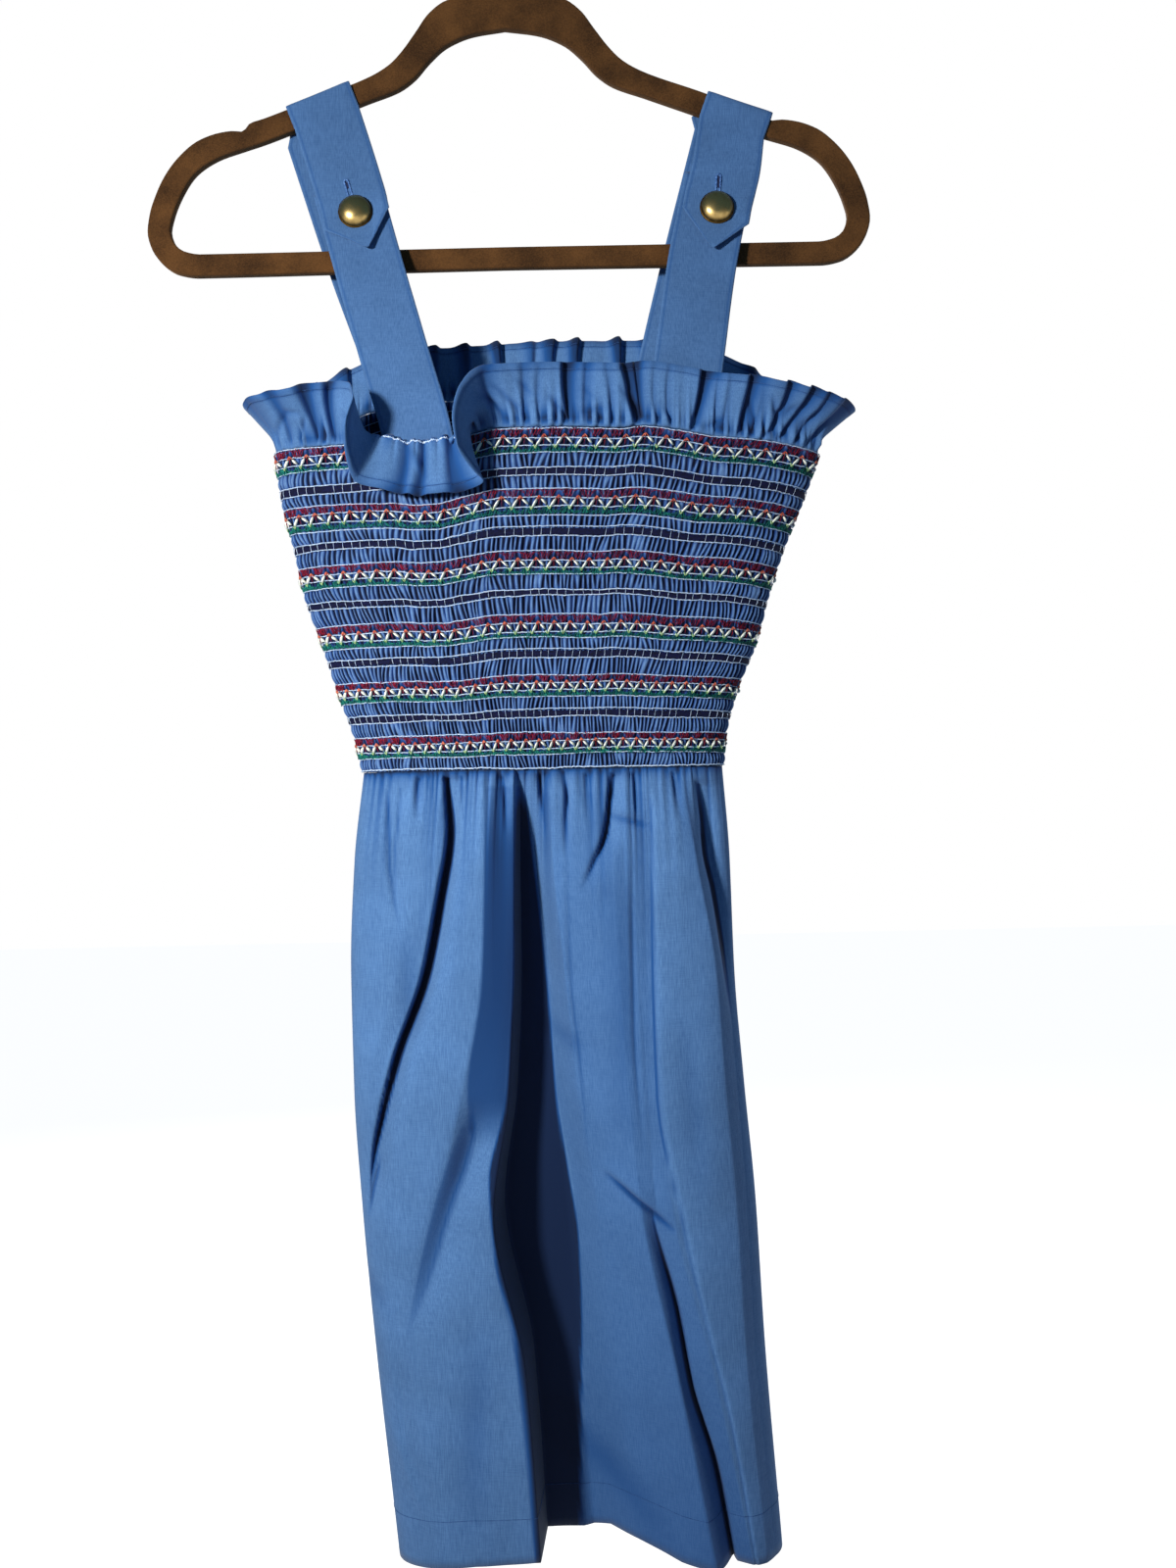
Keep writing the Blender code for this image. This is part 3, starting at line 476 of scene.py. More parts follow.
# each crease: way at the root and at the edge, depth at the root and at the edge in mm, width to
# its left and to its right in mm
RUFFLE_CREASES = {
    -1: (
        (0.020, 0.012, 1.0, 3.0, 2.5, 5.0), (0.052, 0.047, 2.0, 3.5, 1.5, 5.0),
        (0.112, 0.092, 3.0, 5.5, 1.2, 6.0), (0.142, 0.134, 3.0, 5.0, 1.2, 4.5),
        (0.262, 0.258, -2.6, -4.0, 3.0, 3.0), (0.289, 0.286, -2.6, -4.5, 2.5, 3.5),
        (0.342, 0.338, -2.8, -4.5, 2.5, 3.5), (0.420, 0.428, 2.0, 2.5, 2.0, 4.0),
        (0.462, 0.475, 2.4, 1.5, 1.5, 4.0), (0.492, 0.497, 2.0, 0.6, 1.5, 3.0),
        (0.544, 0.533, 4.0, 6.5, 0.9, 6.5), (0.566, 0.572, 2.0, 2.2, 1.5, 4.0),
        (0.612, 0.604, 2.4, 0.8, 1.5, 3.0), (0.653, 0.632, 4.5, 7.0, 1.5, 7.0),
        (0.668, 0.652, 3.0, 3.5, 1.0, 3.5), (0.690, 0.686, 2.0, 0.3, 1.2, 2.5),
        (0.714, 0.712, 2.2, 0.4, 1.2, 2.5), (0.745, 0.767, 4.5, 6.5, 1.1, 6.0),
        (0.787, 0.794, 2.2, 0.6, 1.2, 2.5), (0.804, 0.812, 2.0, 0.3, 1.2, 2.5),
        (0.826, 0.846, 4.0, 5.5, 1.2, 5.0), (0.850, 0.866, 2.0, 0.6, 1.2, 2.5),
        (0.872, 0.904, 3.0, 4.5, 1.2, 4.0), (0.895, 0.940, 3.0, 5.0, 1.2, 4.5),
        (0.925, 0.962, 2.0, 3.0, 1.2, 3.0), (0.952, 0.982, 2.0, 4.0, 1.5, 3.0),
    ),
    1: (
        (0.030, 0.026, 2.0, 4.0, 4.0, 2.0), (0.085, 0.090, 2.5, 5.0, 5.0, 1.5),
        (0.145, 0.140, 2.5, 4.5, 5.0, 1.5), (0.200, 0.206, 2.5, 5.5, 6.0, 1.5),
        (0.262, 0.255, 2.5, 4.0, 4.0, 1.5), (0.305, 0.300, 2.5, 5.0, 5.0, 1.5),
        (0.352, 0.355, 3.0, 6.0, 5.0, 1.5), (0.418, 0.412, 3.0, 7.0, 4.0, 1.2),
        (0.468, 0.474, 2.0, 3.0, 5.0, 2.0), (0.520, 0.514, 2.5, 5.0, 6.0, 1.5),
        (0.563, 0.558, 3.0, 6.5, 4.0, 1.2), (0.628, 0.632, 3.0, 7.0, 4.0, 1.2),
        (0.690, 0.684, 2.5, 4.5, 5.0, 1.5), (0.742, 0.750, 2.5, 5.0, 5.0, 1.5),
        (0.800, 0.794, 2.5, 5.5, 5.0, 1.5), (0.862, 0.872, 2.5, 5.0, 5.0, 1.5),
        (0.930, 0.940, 2.5, 4.0, 4.0, 1.5),
    ),
}
# how far the free edge is carried along the seam (mm), where the flopped stretch curls over
SLIDE = ((0.0, 0.17, 0.190, 0.200, 0.210, 0.222, 0.240, 0.262, 0.30, 0.335, 0.357, 0.367, 0.380, 0.390,
          0.407, 0.427, 0.46, 0.508, 1.0),
         (0, 0, 2, -5, -9, -11, -6, 0, 0, 5, 13, 11, -7, -12, -11,
          -9, -5, 0, 0))
# short slanting creases in the lobes: start and end as way and share of the height, then width and
# depth in mm
RUFFLE_WRINKLES = (
    (0.030, 0.25, 0.066, 0.62, 1.6, 1.5), (0.062, 0.62, 0.088, 0.56, 1.6, 1.3),
    (0.076, 0.10, 0.094, 0.50, 1.4, 1.6), (0.118, 0.30, 0.128, 0.06, 1.6, 2.0),
    (0.160, 0.50, 0.176, 0.16, 1.6, 1.6), (0.268, 0.30, 0.300, 0.74, 2.2, 1.6),
    (0.405, 0.62, 0.436, 0.14, 1.8, 2.2), (0.430, 0.66, 0.466, 0.18, 1.8, 2.0),
    (0.458, 0.80, 0.486, 0.46, 1.6, 1.3), (0.505, 0.52, 0.536, 0.14, 1.8, 2.0),
    (0.560, 0.22, 0.604, 0.30, 1.8, 1.8), (0.566, 0.60, 0.590, 0.42, 1.6, 1.0),
    (0.630, 0.62, 0.668, 0.10, 2.2, 2.6), (0.700, 0.34, 0.716, 0.06, 1.6, 1.8),
    (0.770, 0.10, 0.800, 0.26, 1.8, 2.0), (0.845, 0.62, 0.862, 0.20, 1.6, 1.6),
    (0.880, 0.72, 0.896, 0.30, 1.8, 1.8), (0.905, 0.40, 0.925, 0.66, 2.0, 1.8),
    (0.935, 0.30, 0.958, 0.62, 1.8, 1.6),
)
PANEL_RUN = 350.0
RUFFLE_TALL = 37.0
HEM_FOLD = 0.885


def mark(x, y, start, end, wide):
    """A short crease between two points: how deep it is at x, y, and fading towards its ends."""
    run, rise = end[0] - start[0], end[1] - start[1]
    t = np.clip(((x - start[0]) * run + (y - start[1]) * rise) / (run ** 2 + rise ** 2), 0, 1)
    away = np.hypot(x - start[0] - t * run, y - start[1] - t * rise)
    return np.exp(-(away / wide) ** 2) * np.sin(math.pi * (0.1 + 0.8 * t))


def ruffle_grid(side, way, shares):
    """Rows of the ruffle from its foot to its edge in mm, outer normals, and painted shade in its creases
    and along its hem.
    """
    x, y, z, nx, ny = bodice_row(side, 0.0, way)
    lean = np.radians(smooth(*LEAN[side], way))
    flop = np.clip((lean - 1.0) / 1.6, 0, 1)
    bend = 15 - 4 * flop
    tall = RUFFLE_TALL + 7 * flop
    foot = 0.6 + 0.6 * np.sin(np.minimum(lean, math.pi / 2))
    slide = smooth(*SLIDE, way) if side < 0 else np.zeros_like(way)
    # the small gathers at its foot: uneven in width and depth, with softly pointed dips
    dense = noise_table(5 + side, 4, 260)
    uneven, strong, edge_wave, wander, lobe = (
        np.interp(way * pitch + shift, np.arange(260), dense[row])
        for pitch, shift, row in ((66, 0, 0), (50, 0, 1), (46, 0, 2), (24, 0, 3), (15, 7, 3)))
    run = way * 50 + 0.36 * uneven
    small = np.sin(2 * math.pi * run) * np.clip(0.75 + 0.8 * strong, 0.1, 1.6)
    small = small - 0.25 * np.cos(4 * math.pi * run)
    ends = np.clip(way / 0.012, 0, 1) * np.clip((1 - way) / 0.012, 0, 1)
    rows = []
    normals = []
    depths = []
    steps = 192
    out = np.zeros_like(way)
    up = np.zeros_like(way)
    keep = {round(s * steps) for s in shares}
    for i in range(steps + 1):
        share = i / steps
        turn = lean * np.clip(share * tall / bend, 0, 1)
        if i:
            out = out + np.sin(turn) * tall / steps
            up = up + np.cos(turn) * tall / steps
        if i not in keep:
            continue
        dip = np.zeros_like(way)
        for root, edge, low, high, wide_left, wide_right in RUFFLE_CREASES[side]:
            away = (way - root - (edge - root) * share) * PANEL_RUN + 13 * wander * share * (1 - share)
            wide = np.where(away < 0, wide_left, wide_right) * (0.75 + 0.5 * share)
            dip = dip + (low + (high - low) * share) * np.exp(-(away / wide) ** 2)
        fine = small * 3.0 * math.exp(-share * 5.0)
        rise = min(share * 7, 1)
        swing = ((1.2 + 1.3 * share - dip) + fine) * rise * ends
        swing = swing + (0.7 * edge_wave + 2.2 * lobe) * share * ends
        off = out + swing * np.cos(turn)
        lift = up - swing * np.sin(turn)
        pull = slide * share ** 1.5
        row = np.column_stack((x + nx * off - ny * pull, y + ny * off + nx * pull, z + foot + lift))
        normal = np.column_stack((nx * np.cos(turn), ny * np.cos(turn), -np.sin(turn)))
        # painted shade: darker in the creases' hollows, in the small gathers' dips and in the short wrinkles
        shade = np.clip(dip * np.sign(np.cos(turn)) / 5.0, 0, 1) * 0.8
        shade = shade + np.clip(-fine / 1.1 - 0.15, 0, 1)
        for way0, share0, way1, share1, wide, deep in RUFFLE_WRINKLES if side < 0 else ():
            start, end = ((w * PANEL_RUN, s * RUFFLE_TALL) for w, s in ((way0, share0), (way1, share1)))
            crease = mark(way * PANEL_RUN, share * RUFFLE_TALL, start, end, wide)
            row = row - normal * (deep * crease * rise)[:, None]
            shade = shade + deep * 0.14 * crease
        # painted shade along the hem's fold and at the very edge
        shade = shade + 0.30 * math.exp(-((share - HEM_FOLD) / 0.012) ** 2) + 0.22 * (share > 0.99)
        rows.append(row)
        normals.append(normal)
        depths.append(np.clip(shade * rise, 0, 0.92))
    return np.array(rows), np.array(normals), np.array(depths)


hem_thread = thread_material("blue_thread", "#3B639C", "#24457A")
for side, title in ((-1, "ruffle_front_cloth"), (1, "ruffle_back_cloth")):
    shares = np.concatenate((np.linspace(0, 0.84, 19), (0.875, HEM_FOLD, 0.896, 1.0)))
    rows, normals, shade = ruffle_grid(side, np.linspace(0, 1, 721), shares)
    rows[:, [0, -1], 1] = side * 0.05
    # the turned hem is a second layer, so it stands out a little
    hem = np.clip((shares - HEM_FOLD) / 0.01, 0, 1)
    rows = rows + normals * (0.16 * hem)[:, None, None]
    cloth = thin_cloth(title, rows, cotton, 0.7, shade, flip=side < 0)
    piece(cloth, "cotton", "ruffle_front" if side < 0 else "ruffle_back")
    line_rows, line_normals, shade = ruffle_grid(side, np.linspace(0.004, 0.996, 401), np.array([0.89]))
    paths = []
    for face in (-1, 1):
        normal = line_normals[0] * face
        paths.append((line_rows[0] + normal * 0.5, normal, np.full(401, 0.17)))
    piece(tube_mesh(title + "_hem_stitches", paths, hem_thread), "cotton")
    if side < 0:
        # the white seam that shows where the flopped stretch turns its inside out
        count = np.arange(120)
        seam_rows, seam_normals, shade = ruffle_grid(side, np.linspace(0.232, 0.352, 120), np.array([0.24]))
        seam = seam_rows[0] - seam_normals[0] * 0.7
        seam[:, 2] += 0.3 * np.sin(count * 1.9)
        seam_path = (seam, -seam_normals[0], 0.46 + 0.14 * np.sin(count * 0.9))
        piece(tube_mesh("seam_stitches_at_flop", [seam_path], white_thread, 5), "cotton")


# Skirt: two panels of the same cotton gathered into the waist seam. It hangs in one deep
# dark recess left of the middle, with a sharp fold edge over it, a long slanting crease at
# the left, soft ridges at the right, and a plain machine hem.

# the plan of both panels at each drop: the seams' places across, then each panel's depth
SKIRT = {
    "drop": (545, 600, 670, 740, 810, 900, 1012),
    "left": (-96, -103, -106.5, -106, -102.5, -95.5, -84),
    "right": (124, 127.5, 129, 133.5, 139, 143, 151),
    -1: (34, 38, 40, 42, 44, 46, 48),
    1: (34, 38, 41, 43, 45, 47, 48),
}
FLAT = (0,) * 7
# folds from the left seam to the right one: columns of points up to each, then its places across
# and how deep it lies at SKIRT's drops, in mm; None is the right seam itself
FOLDS = {
    -1: (
        (5, (-66, -66, -76, -95, -94, -88, -76), FLAT),
        (3, (-40, -46, -62, -88, -88, -84, -70), (1, 2, 3, 2, 0, 0, 0)),
        (2, (-32, -37, -50, -70, -70, -79, -62), (0, 0, 0, 0, 0, 1, 0)),
        (3, (-20, -21, -24, -38, -54, -70, -44), (0, 0, 0, 0, 1, 0, 0)),
        (4, (-3, -4, -6, -10, -20, -3, 4), (4, 11, 14, 14, 3, 3, 4)),
        (2, (1, -1, -2, -6, -15, 1, 7), (10, 32, 40, 42, 42, 44, 46)),
        (2, (7, 9, 15, 18, 25, 30, 36), (10, 32, 40, 43, 44, 45, 47)),
        (3, (18, 20, 26, 33, 42, 52, 62), (3, 11, 17, 21, 25, 27, 28)),
        (4, (54, 56, 58, 62, 68, 86, 108), (1, 3, 5, 6, 7, 4, 2)),
        (2, (66, 68, 70, 73, 77, 95, 120), (2, 3, 4, 4, 7, 11, 12)),
        (2, (77, 78, 79, 81, 87, 108, 131), FLAT),
        (3, (97, 105, 116, 120, 125, 129, 139), (-1, -5, -6, -5, -4, -3, -2)),
        (3, (104, 111, 123, 128, 132, 135, 145), (1, 3, 2, 1, 0, 0, 0)),
        (4, None, FLAT),
    ),
    1: (
        (5, (-72, -76, -80, -82, -80, -74, -64), FLAT),
        (4, (-50, -54, -58, -60, -58, -52, -42), (3, 9, 13, 15, 16, 17, 18)),
        (4, (-28, -30, -32, -33, -30, -24, -14), (0, 0, 1, 1, 1, 1, 0)),
        (4, (2, 2, 2, 2, 4, 10, 18), (4, 12, 16, 18, 19, 20, 20)),
        (4, (22, 24, 26, 27, 30, 36, 46), FLAT),
        (4, (48, 50, 54, 56, 60, 66, 78), (3, 7, 10, 12, 14, 15, 16)),
        (5, (74, 78, 84, 88, 92, 98, 110), FLAT),
        (4, (98, 104, 108, 112, 117, 121, 131), (3, 5, 6, 6, 6, 5, 5)),
        (6, None, FLAT),
    ),
}
# sharp creases down the cloth: drops, places across, depths in, width left and right, and how
# much of the usual painted shade, if not all
STEPS = {
    -1: (
        ((549, 578, 626, 668, 716, 749, 778, 801), (-44, -43, -51, -60, -78, -87, -93, -95),
         (6, 11, 13, 13, 12, 9, 5, 0), 0.9, 9),
        ((742, 757, 779, 803, 850, 880), (-31, -31, -36, -45, -60, -72), (0, 4, 7, 6.5, 4, 0), 8, 14, 0.3),
        ((555, 576, 599, 616, 645), (-80, -79, -79, -77, -70), (1, 3, 3, 2, 0), 1.5, 4),
        ((555, 576, 593, 610, 632), (-71, -73, -75, -75, -76), (1, 2.4, 2.4, 1.5, 0), 1.2, 3),
        ((549, 561, 584, 601, 619), (56, 54, 51, 44, 36), (4, 6, 6, 4, 0), 1.2, 7),
        ((547, 563, 578, 600), (27, 29, 28, 28), (4, 5, 4, 0), 2.0, 1.6),
        ((570, 670, 717, 790), (28, 29, 33, 38), (0, 1.6, 1.6, 0), 2.0, 9),
        ((560, 573, 671, 741, 820, 874, 936, 1012), (78, 79, 78, 79, 93, 104, 119, 132),
         (0, 2.6, 2.8, 2.6, 2.2, 2.0, 1.6, 1.2), 7, 1.2),
        ((600, 648, 697, 780), (66, 66, 66, 70), (0, 1.4, 1.4, 0), 1.6, 2.2),
        ((556, 574, 596, 621, 649, 672, 705), (107, 109, 110, 115, 119, 122, 127),
         (3, 6, 7, 7, 7, 5, 0), 1.2, 9),
        ((808, 819, 865, 917, 962, 1012), (74, 76, 88, 97, 111, 120), (0, 4, 7, 8, 8, 7), 4.5, 0.9),
        ((775, 785, 801, 815), (-88, -90, -94, -96), (0, 3, 3, 0), 1.5, 5),
        ((548, 556, 585), (-10, -9, -8), (3, 3, 0), 1.4, 2.5),
        ((548, 556, 588), (12, 13, 16), (3, 3, 0), 1.4, 2.5),
        ((548, 556, 580), (40, 40, 41), (3, 2.5, 0), 1.4, 2.5),
        ((548, 556, 586), (68, 69, 70), (3, 3, 0), 1.4, 2.5),
        ((548, 556, 578), (92, 93, 95), (3, 3, 0), 1.4, 2.5),
        ((548, 556, 576), (-60, -61, -61), (3, 3, 0), 1.4, 2.5),
        ((548, 556, 576), (-34, -34, -33), (3, 2.6, 0), 1.4, 2.5),
    ),
    1: (
        ((549, 590, 650, 720), (-62, -64, -66, -67), (4, 6, 4, 0), 4, 1.5),
        ((549, 580, 630), (-12, -14, -15), (4, 4, 0), 3, 1.5),
        ((549, 600, 660), (36, 38, 39), (4, 5, 0), 3, 1.5),
        ((549, 590, 640), (86, 90, 92), (4, 4, 0), 3, 1.5),
        ((700, 780, 880, 960), (-66, -62, -52, -44), (0, 4, 4, 0), 6, 2),
        ((760, 830, 930, 1010), (52, 60, 84, 92), (0, 4, 6, 5), 6, 2),
        ((548, 556, 580), (-88, -89, -90), (3, 3, 0), 2.5, 1.4),
        ((548, 556, 584), (-38, -39, -39), (3, 3, 0), 2.5, 1.4),
        ((548, 556, 580), (14, 14, 15), (3, 3, 0), 2.5, 1.4),
        ((548, 556, 584), (60, 61, 62), (3, 3, 0), 2.5, 1.4),
        ((548, 556, 580), (106, 108, 110), (3, 3, 0), 2.5, 1.4),
    ),
}
# short slanting creases: start and end (mm across, mm down), width, depth (in, + ; out, -)
CREASES = {
    -1: (
        (54, 574, 78, 581, 2.2, 2.2), (53, 568, 76, 574, 3.0, -1.2), (49, 790, 86, 820, 1.8, 4.2),
        (46, 783, 80, 808, 4.0, -1.2), (14, 700, 36, 716, 5.0, 1.0), (-88, 930, -64, 985, 3.5, -1.4),
        (60, 600, 60, 760, 8.0, 0.8), (96, 700, 104, 800, 7.0, 0.8), (-100, 850, -86, 868, 4.0, 1.0),
        (10, 940, 76, 1000, 10.0, 1.0), (-70, 640, -66, 700, 6.0, 1.0), (-30, 880, -36, 990, 9.0, 1.2),
    ),
    1: (
        (-50, 700, -20, 730, 4.0, 1.4), (20, 820, 60, 850, 4.0, 1.6), (10, 700, 16, 820, 6.0, 1.0),
        (100, 640, 108, 740, 6.0, 1.0), (-80, 600, -60, 612, 3.0, 1.2),
    ),
}
# how much lower the hem hangs than a level cut, in mm, across each panel
HEM_LOW = {
    -1: ((-84, -62, -34, 0, 30, 46, 62, 88, 108, 151), (12, 8, 3, 0, 0, -4, -1, 8, 11, 12)),
    1: ((-84, -50, 30, 110, 151), (12, 4, 0, 4, 12)),
}
# stretches in shadow: drops, where each begins at the left and ends at the right, how dark it is
SHADES = (
    ((556, 575, 600, 632, 668, 698, 746, 789, 835, 881, 950, 1012),
     (-2, -3, -4, -5, -6, -8, -12, -22, -19, -8.5, -2, 1.5), (3, 5, 7, 10, 13, 15, 18, 24, 30, 31, 29, 27.5),
     (0.2, 0.93, 0.93, 0.93, 0.93, 0.93, 0.93, 0.93, 0.93, 0.93, 0.93, 0.93)),
    ((556, 600, 670, 740, 756, 770), (-20, -21, -24, -34, -34, -30), (-3, -4, -6.5, -11.5, -13, -16),
     (0.2, 0.48, 0.48, 0.46, 0.3, 0)),
    ((750, 757, 779, 803, 850, 880), (-34, -38, -47, -55, -67, -73), (-32, -31, -36, -45, -60, -72),
     (0, 0.3, 0.34, 0.34, 0.3, 0.1)),
    ((560, 600, 670, 740, 810, 900, 1012), (6, 8, 14, 18, 28, 31, 28), (77, 78, 79, 81, 87, 108, 131),
     (0.05, 0.12, 0.14, 0.16, 0.18, 0.22, 0.30)),
)
HEM = 1012


def between(x, low, high, soft):
    """1 from low to high and 0 outside, with soft ends."""
    return np.clip((x - low) / soft + 0.5, 0, 1) * np.clip((high - x) / soft + 0.5, 0, 1)


def skirt_row(side, drop, fine):
    """One row of the skirt at a drop: its points in mm and the painted shade at each."""
    left, right, depth = (float(smooth(SKIRT["drop"], SKIRT[key], drop)) for key in ("left", "right", side))
    angles = [-math.pi / 2]
    insets = [0.0]
    spread = [-math.pi / 2]
    for columns, place, inset in FOLDS[side]:
        angle = math.pi / 2
        if place:
            across = (2 * float(smooth(SKIRT["drop"], place, drop)) - left - right) / (right - left)
            angle = math.asin(min(max(across, -1), 1))
        spread.extend(np.linspace(angles[-1], angle, columns * fine + 1)[1:])
        angles.append(angle)
        insets.append(float(smooth(SKIRT["drop"], inset, drop)))
    spread = np.array(spread)
    below = drop - WAIST
    # the waist seam holds the cloth in, and the folds open below it
    hold = 1 - math.exp(-below / 13)
    inset = (0.8 * np.interp(spread, angles, insets) + 0.2 * smooth(angles, insets, spread)) * hold
    across = np.sin(spread)
    x = (left + right) / 2 + (right - left) / 2 * across
    y = depth * oval_depth(across) - inset - 0.6
    dip = np.zeros_like(x)
    for x0, d0, x1, d1, wide, deep in CREASES[side]:
        dip = dip + deep * mark(x, drop, (x0, d0), (x1, d1), wide)
    # painted shade in the short slanting creases
    shade = np.clip(dip * 0.16, 0, 0.5)
    # the back: painted shade where the folds lie deeper in
    if side > 0:
        shade = shade + np.clip((inset - 8) / 26, 0, 0.4)
    # painted shadow across each stretch in SHADES
    for drops, *edges in SHADES if side < 0 else ():
        if drops[0] <= drop <= drops[-1]:
            low, high, dark = (float(smooth(drops, values, drop)) for values in edges)
            shade = shade + dark * between(x, low, high, 1.6)
    for drops, places, depths, wide_left, wide_right, *dark in STEPS[side]:
        if drops[0] <= drop <= drops[-1]:
            deep = float(smooth(drops, depths, drop))
            away = x - float(smooth(drops, places, drop))
            dip = dip + deep * np.exp(-(away / np.where(away < 0, wide_left, wide_right)) ** 2)
            # painted shade in each sharp crease's hollow, on its steep side
            low, high = (-0.8, 0.42 * deep) if wide_left < wide_right else (-0.36 * deep, 0.7)
            shade = shade + min(deep * 0.14, 0.93) * between(away, low, high, 1.2) * (dark[0] if dark else 1)
    # gathers: one beside each column of folds, and smaller uneven ones that die away sooner
    fade = math.exp(-below / 38) * (0.35 + 0.65 * hold)
    gather = 2.0 * fade * np.sin(math.pi / 2 * np.arange(len(spread)) / fine) * np.cos(spread)
    table = noise_table(91 + side, 3, 140)
    uneven = np.interp((across + 1) * 60, np.arange(140), table[0])
    longer = np.interp((across + 1) * 20, np.arange(140), table[1])
    small = np.sin(2 * math.pi * (across * 30 + 0.6 * uneven) * 0.62) * np.exp(-below / (28 + 18 * longer))
    small = 1.3 * small
    soft = 0.55 * np.sin(across * 19 + drop / 61.0) * np.sin(drop / 83.0 + across * 5) * hold
    ease = min((below + 1) / 4, 1)
    y = side * (y + (gather + small * np.cos(spread)) * ease - dip + soft * np.cos(spread))
    y[[0, -1]] = side * SEAM_OUT
    # painted shade in the gathers' hollows, and a dark band painted just under the waist seam
    shade = shade + 0.7 * np.clip(-(gather + small) / 2.4, 0, 1) + 0.95 * math.exp(-below / 3.0)
    sag = np.interp(x, *HEM_LOW[side]) * max((drop - 860) / (HEM - 860), 0) ** 2
    return np.column_stack((x, y, -drop - sag)), np.clip(shade, 0, 0.95)


# rows of points: close together under the waist and where the left panel's edge turns
skirt_drops = []
for start, end, count in ((545.4, 620, 34), (620, 784, 32), (784, 826, 22)):
    skirt_drops.extend(np.linspace(start, end, count, endpoint=False))
skirt_drops.extend(np.linspace(826, HEM, 36))

for side, title in ((-1, "skirt_front_cloth"), (1, "skirt_back_cloth")):
    rows, shades = zip(*(skirt_row(side, drop, 7 if side < 0 else 6) for drop in skirt_drops))
    cloth = thin_cloth(title, np.array(rows), cotton, 0.7, np.array(shades), flip=side > 0)
    piece(cloth, "cotton", "skirt_front" if side < 0 else "skirt_back")
    row, shade = skirt_row(side, HEM - 26, 5)
    tangent = np.gradient(row[:, :2], axis=0)
    tangent /= np.linalg.norm(tangent, axis=1)[:, None] + 1e-9
    normals = np.column_stack((-side * tangent[:, 1], side * tangent[:, 0], np.zeros(len(row))))
    line = (row + normals * 0.5, normals, np.full(len(row), 0.14))
    piece(tube_mesh(title + "_hem_stitches", [line], hem_thread), "cotton")


# Straps: doubled cotton bands 42 mm wide. The rear pair is sewn inside the back, goes over
# the hanger's arms and ends in a pointed tab with a keyhole buttonhole, and the front pair
# is sewn inside the front and carries the button.

STRAP_HALF = 21
# the rear straps' seats on the hanger's arms: place across, drop and tilt in degrees
ARM_SEAT = {"left": (-115.5, 128.7, 20.4), "right": (143.5, 139.1, -20.4)}
# places across, drops and tilts down each strap, and half the tab's width at TABS' drops
TABS = {
    "left": ((-101.5, -97.2, -93.8, -92.5, -92.0, -88.6, -85.2), (172, 187, 199.5, 206, 208, 217, 226.5),
             (18.5, 18, 18, 18, 18, 18, 18)),
    "right": ((134.3, 131.4, 128.2, 126.9, 126.4, 125, 123.8), (178.5, 190, 202, 208.5, 210.5, 221, 231.5),
              (-16, -16, -16, -17, -17, -17, -17)),
}
TAB_HALF = (21, 21, 21, 21, 21, 11, 1)
REARS = {
    "left": ((-116.5, -93, -68, -66), (150, 228, 307, 318), (19, 18, 17, 12)),
    "right": ((136, 113, 96, 94), (157, 240, 308, 319), (-18, -14, -12, -8)),
}
FRONTS = {
    "left": ((-99, -86, -71, -56, -54), (185, 235, 290, 346, 359), (17, 17, 16, 12, 4)),
    "right": ((129.5, 117.5, 109.5, 101, 99.5), (186, 240, 290, 344, 353), (-14, -10, -9, -7, -2)),
}
BUTTONS = {"left": (-92.9, 203.6), "right": (127.4, 205.8)}
# the rear strap's depth beside the hanger: half the hanger's thickness, half the strap's and a gap
NEAR = 3.25 + 0.45 + 0.6
# from the smocked wall's middle in to the middle of a strap sewn inside it
STRAP_IN = 0.8 + 0.48 + 0.6
# how far in front of the front strap the tab lies
TAB_OUT = 1.6


def wall_inside(side, x, drop):
    """Depth of a strap inside the smocked panel, and the drop of the panel's top edge there."""
    left, right = BODICE["left"][0], BODICE["right"][0]
    top = float(smooth(*TOP_EDGE[side], (2 * x - left - right) / (right - left)))
    left, right, depth = bodice_size(max((drop - top) / (WAIST - top), 0))
    across = (2 * x - left - right) / (right - left)
    return side * (depth * float(oval_depth(across)) - STRAP_IN), top


def lean_to_wall(side, x, drop, near, near_drop):
    """Depth of a strap that runs from one depth up high to the panel's inside."""
    wall, top = wall_inside(side, x, drop)
    if drop >= top:
        return wall
    wall, top = wall_inside(side, x, top)
    return wall + (near - wall) * (top - drop) / (top - near_drop)


def front_depth(x, drop):
    return lean_to_wall(-1, x, drop, -4.9, 168)


def tab_depth(x, drop, seat_drop):
    """Depth of the tab, which comes down from the hanger's arm onto the front strap."""
    if drop >= 184:
        return front_depth(x, drop) - TAB_OUT
    low = front_depth(x, 184) - TAB_OUT
    return low + (-NEAR - low) * min(max((184 - drop) / (184 - seat_drop), 0), 1)


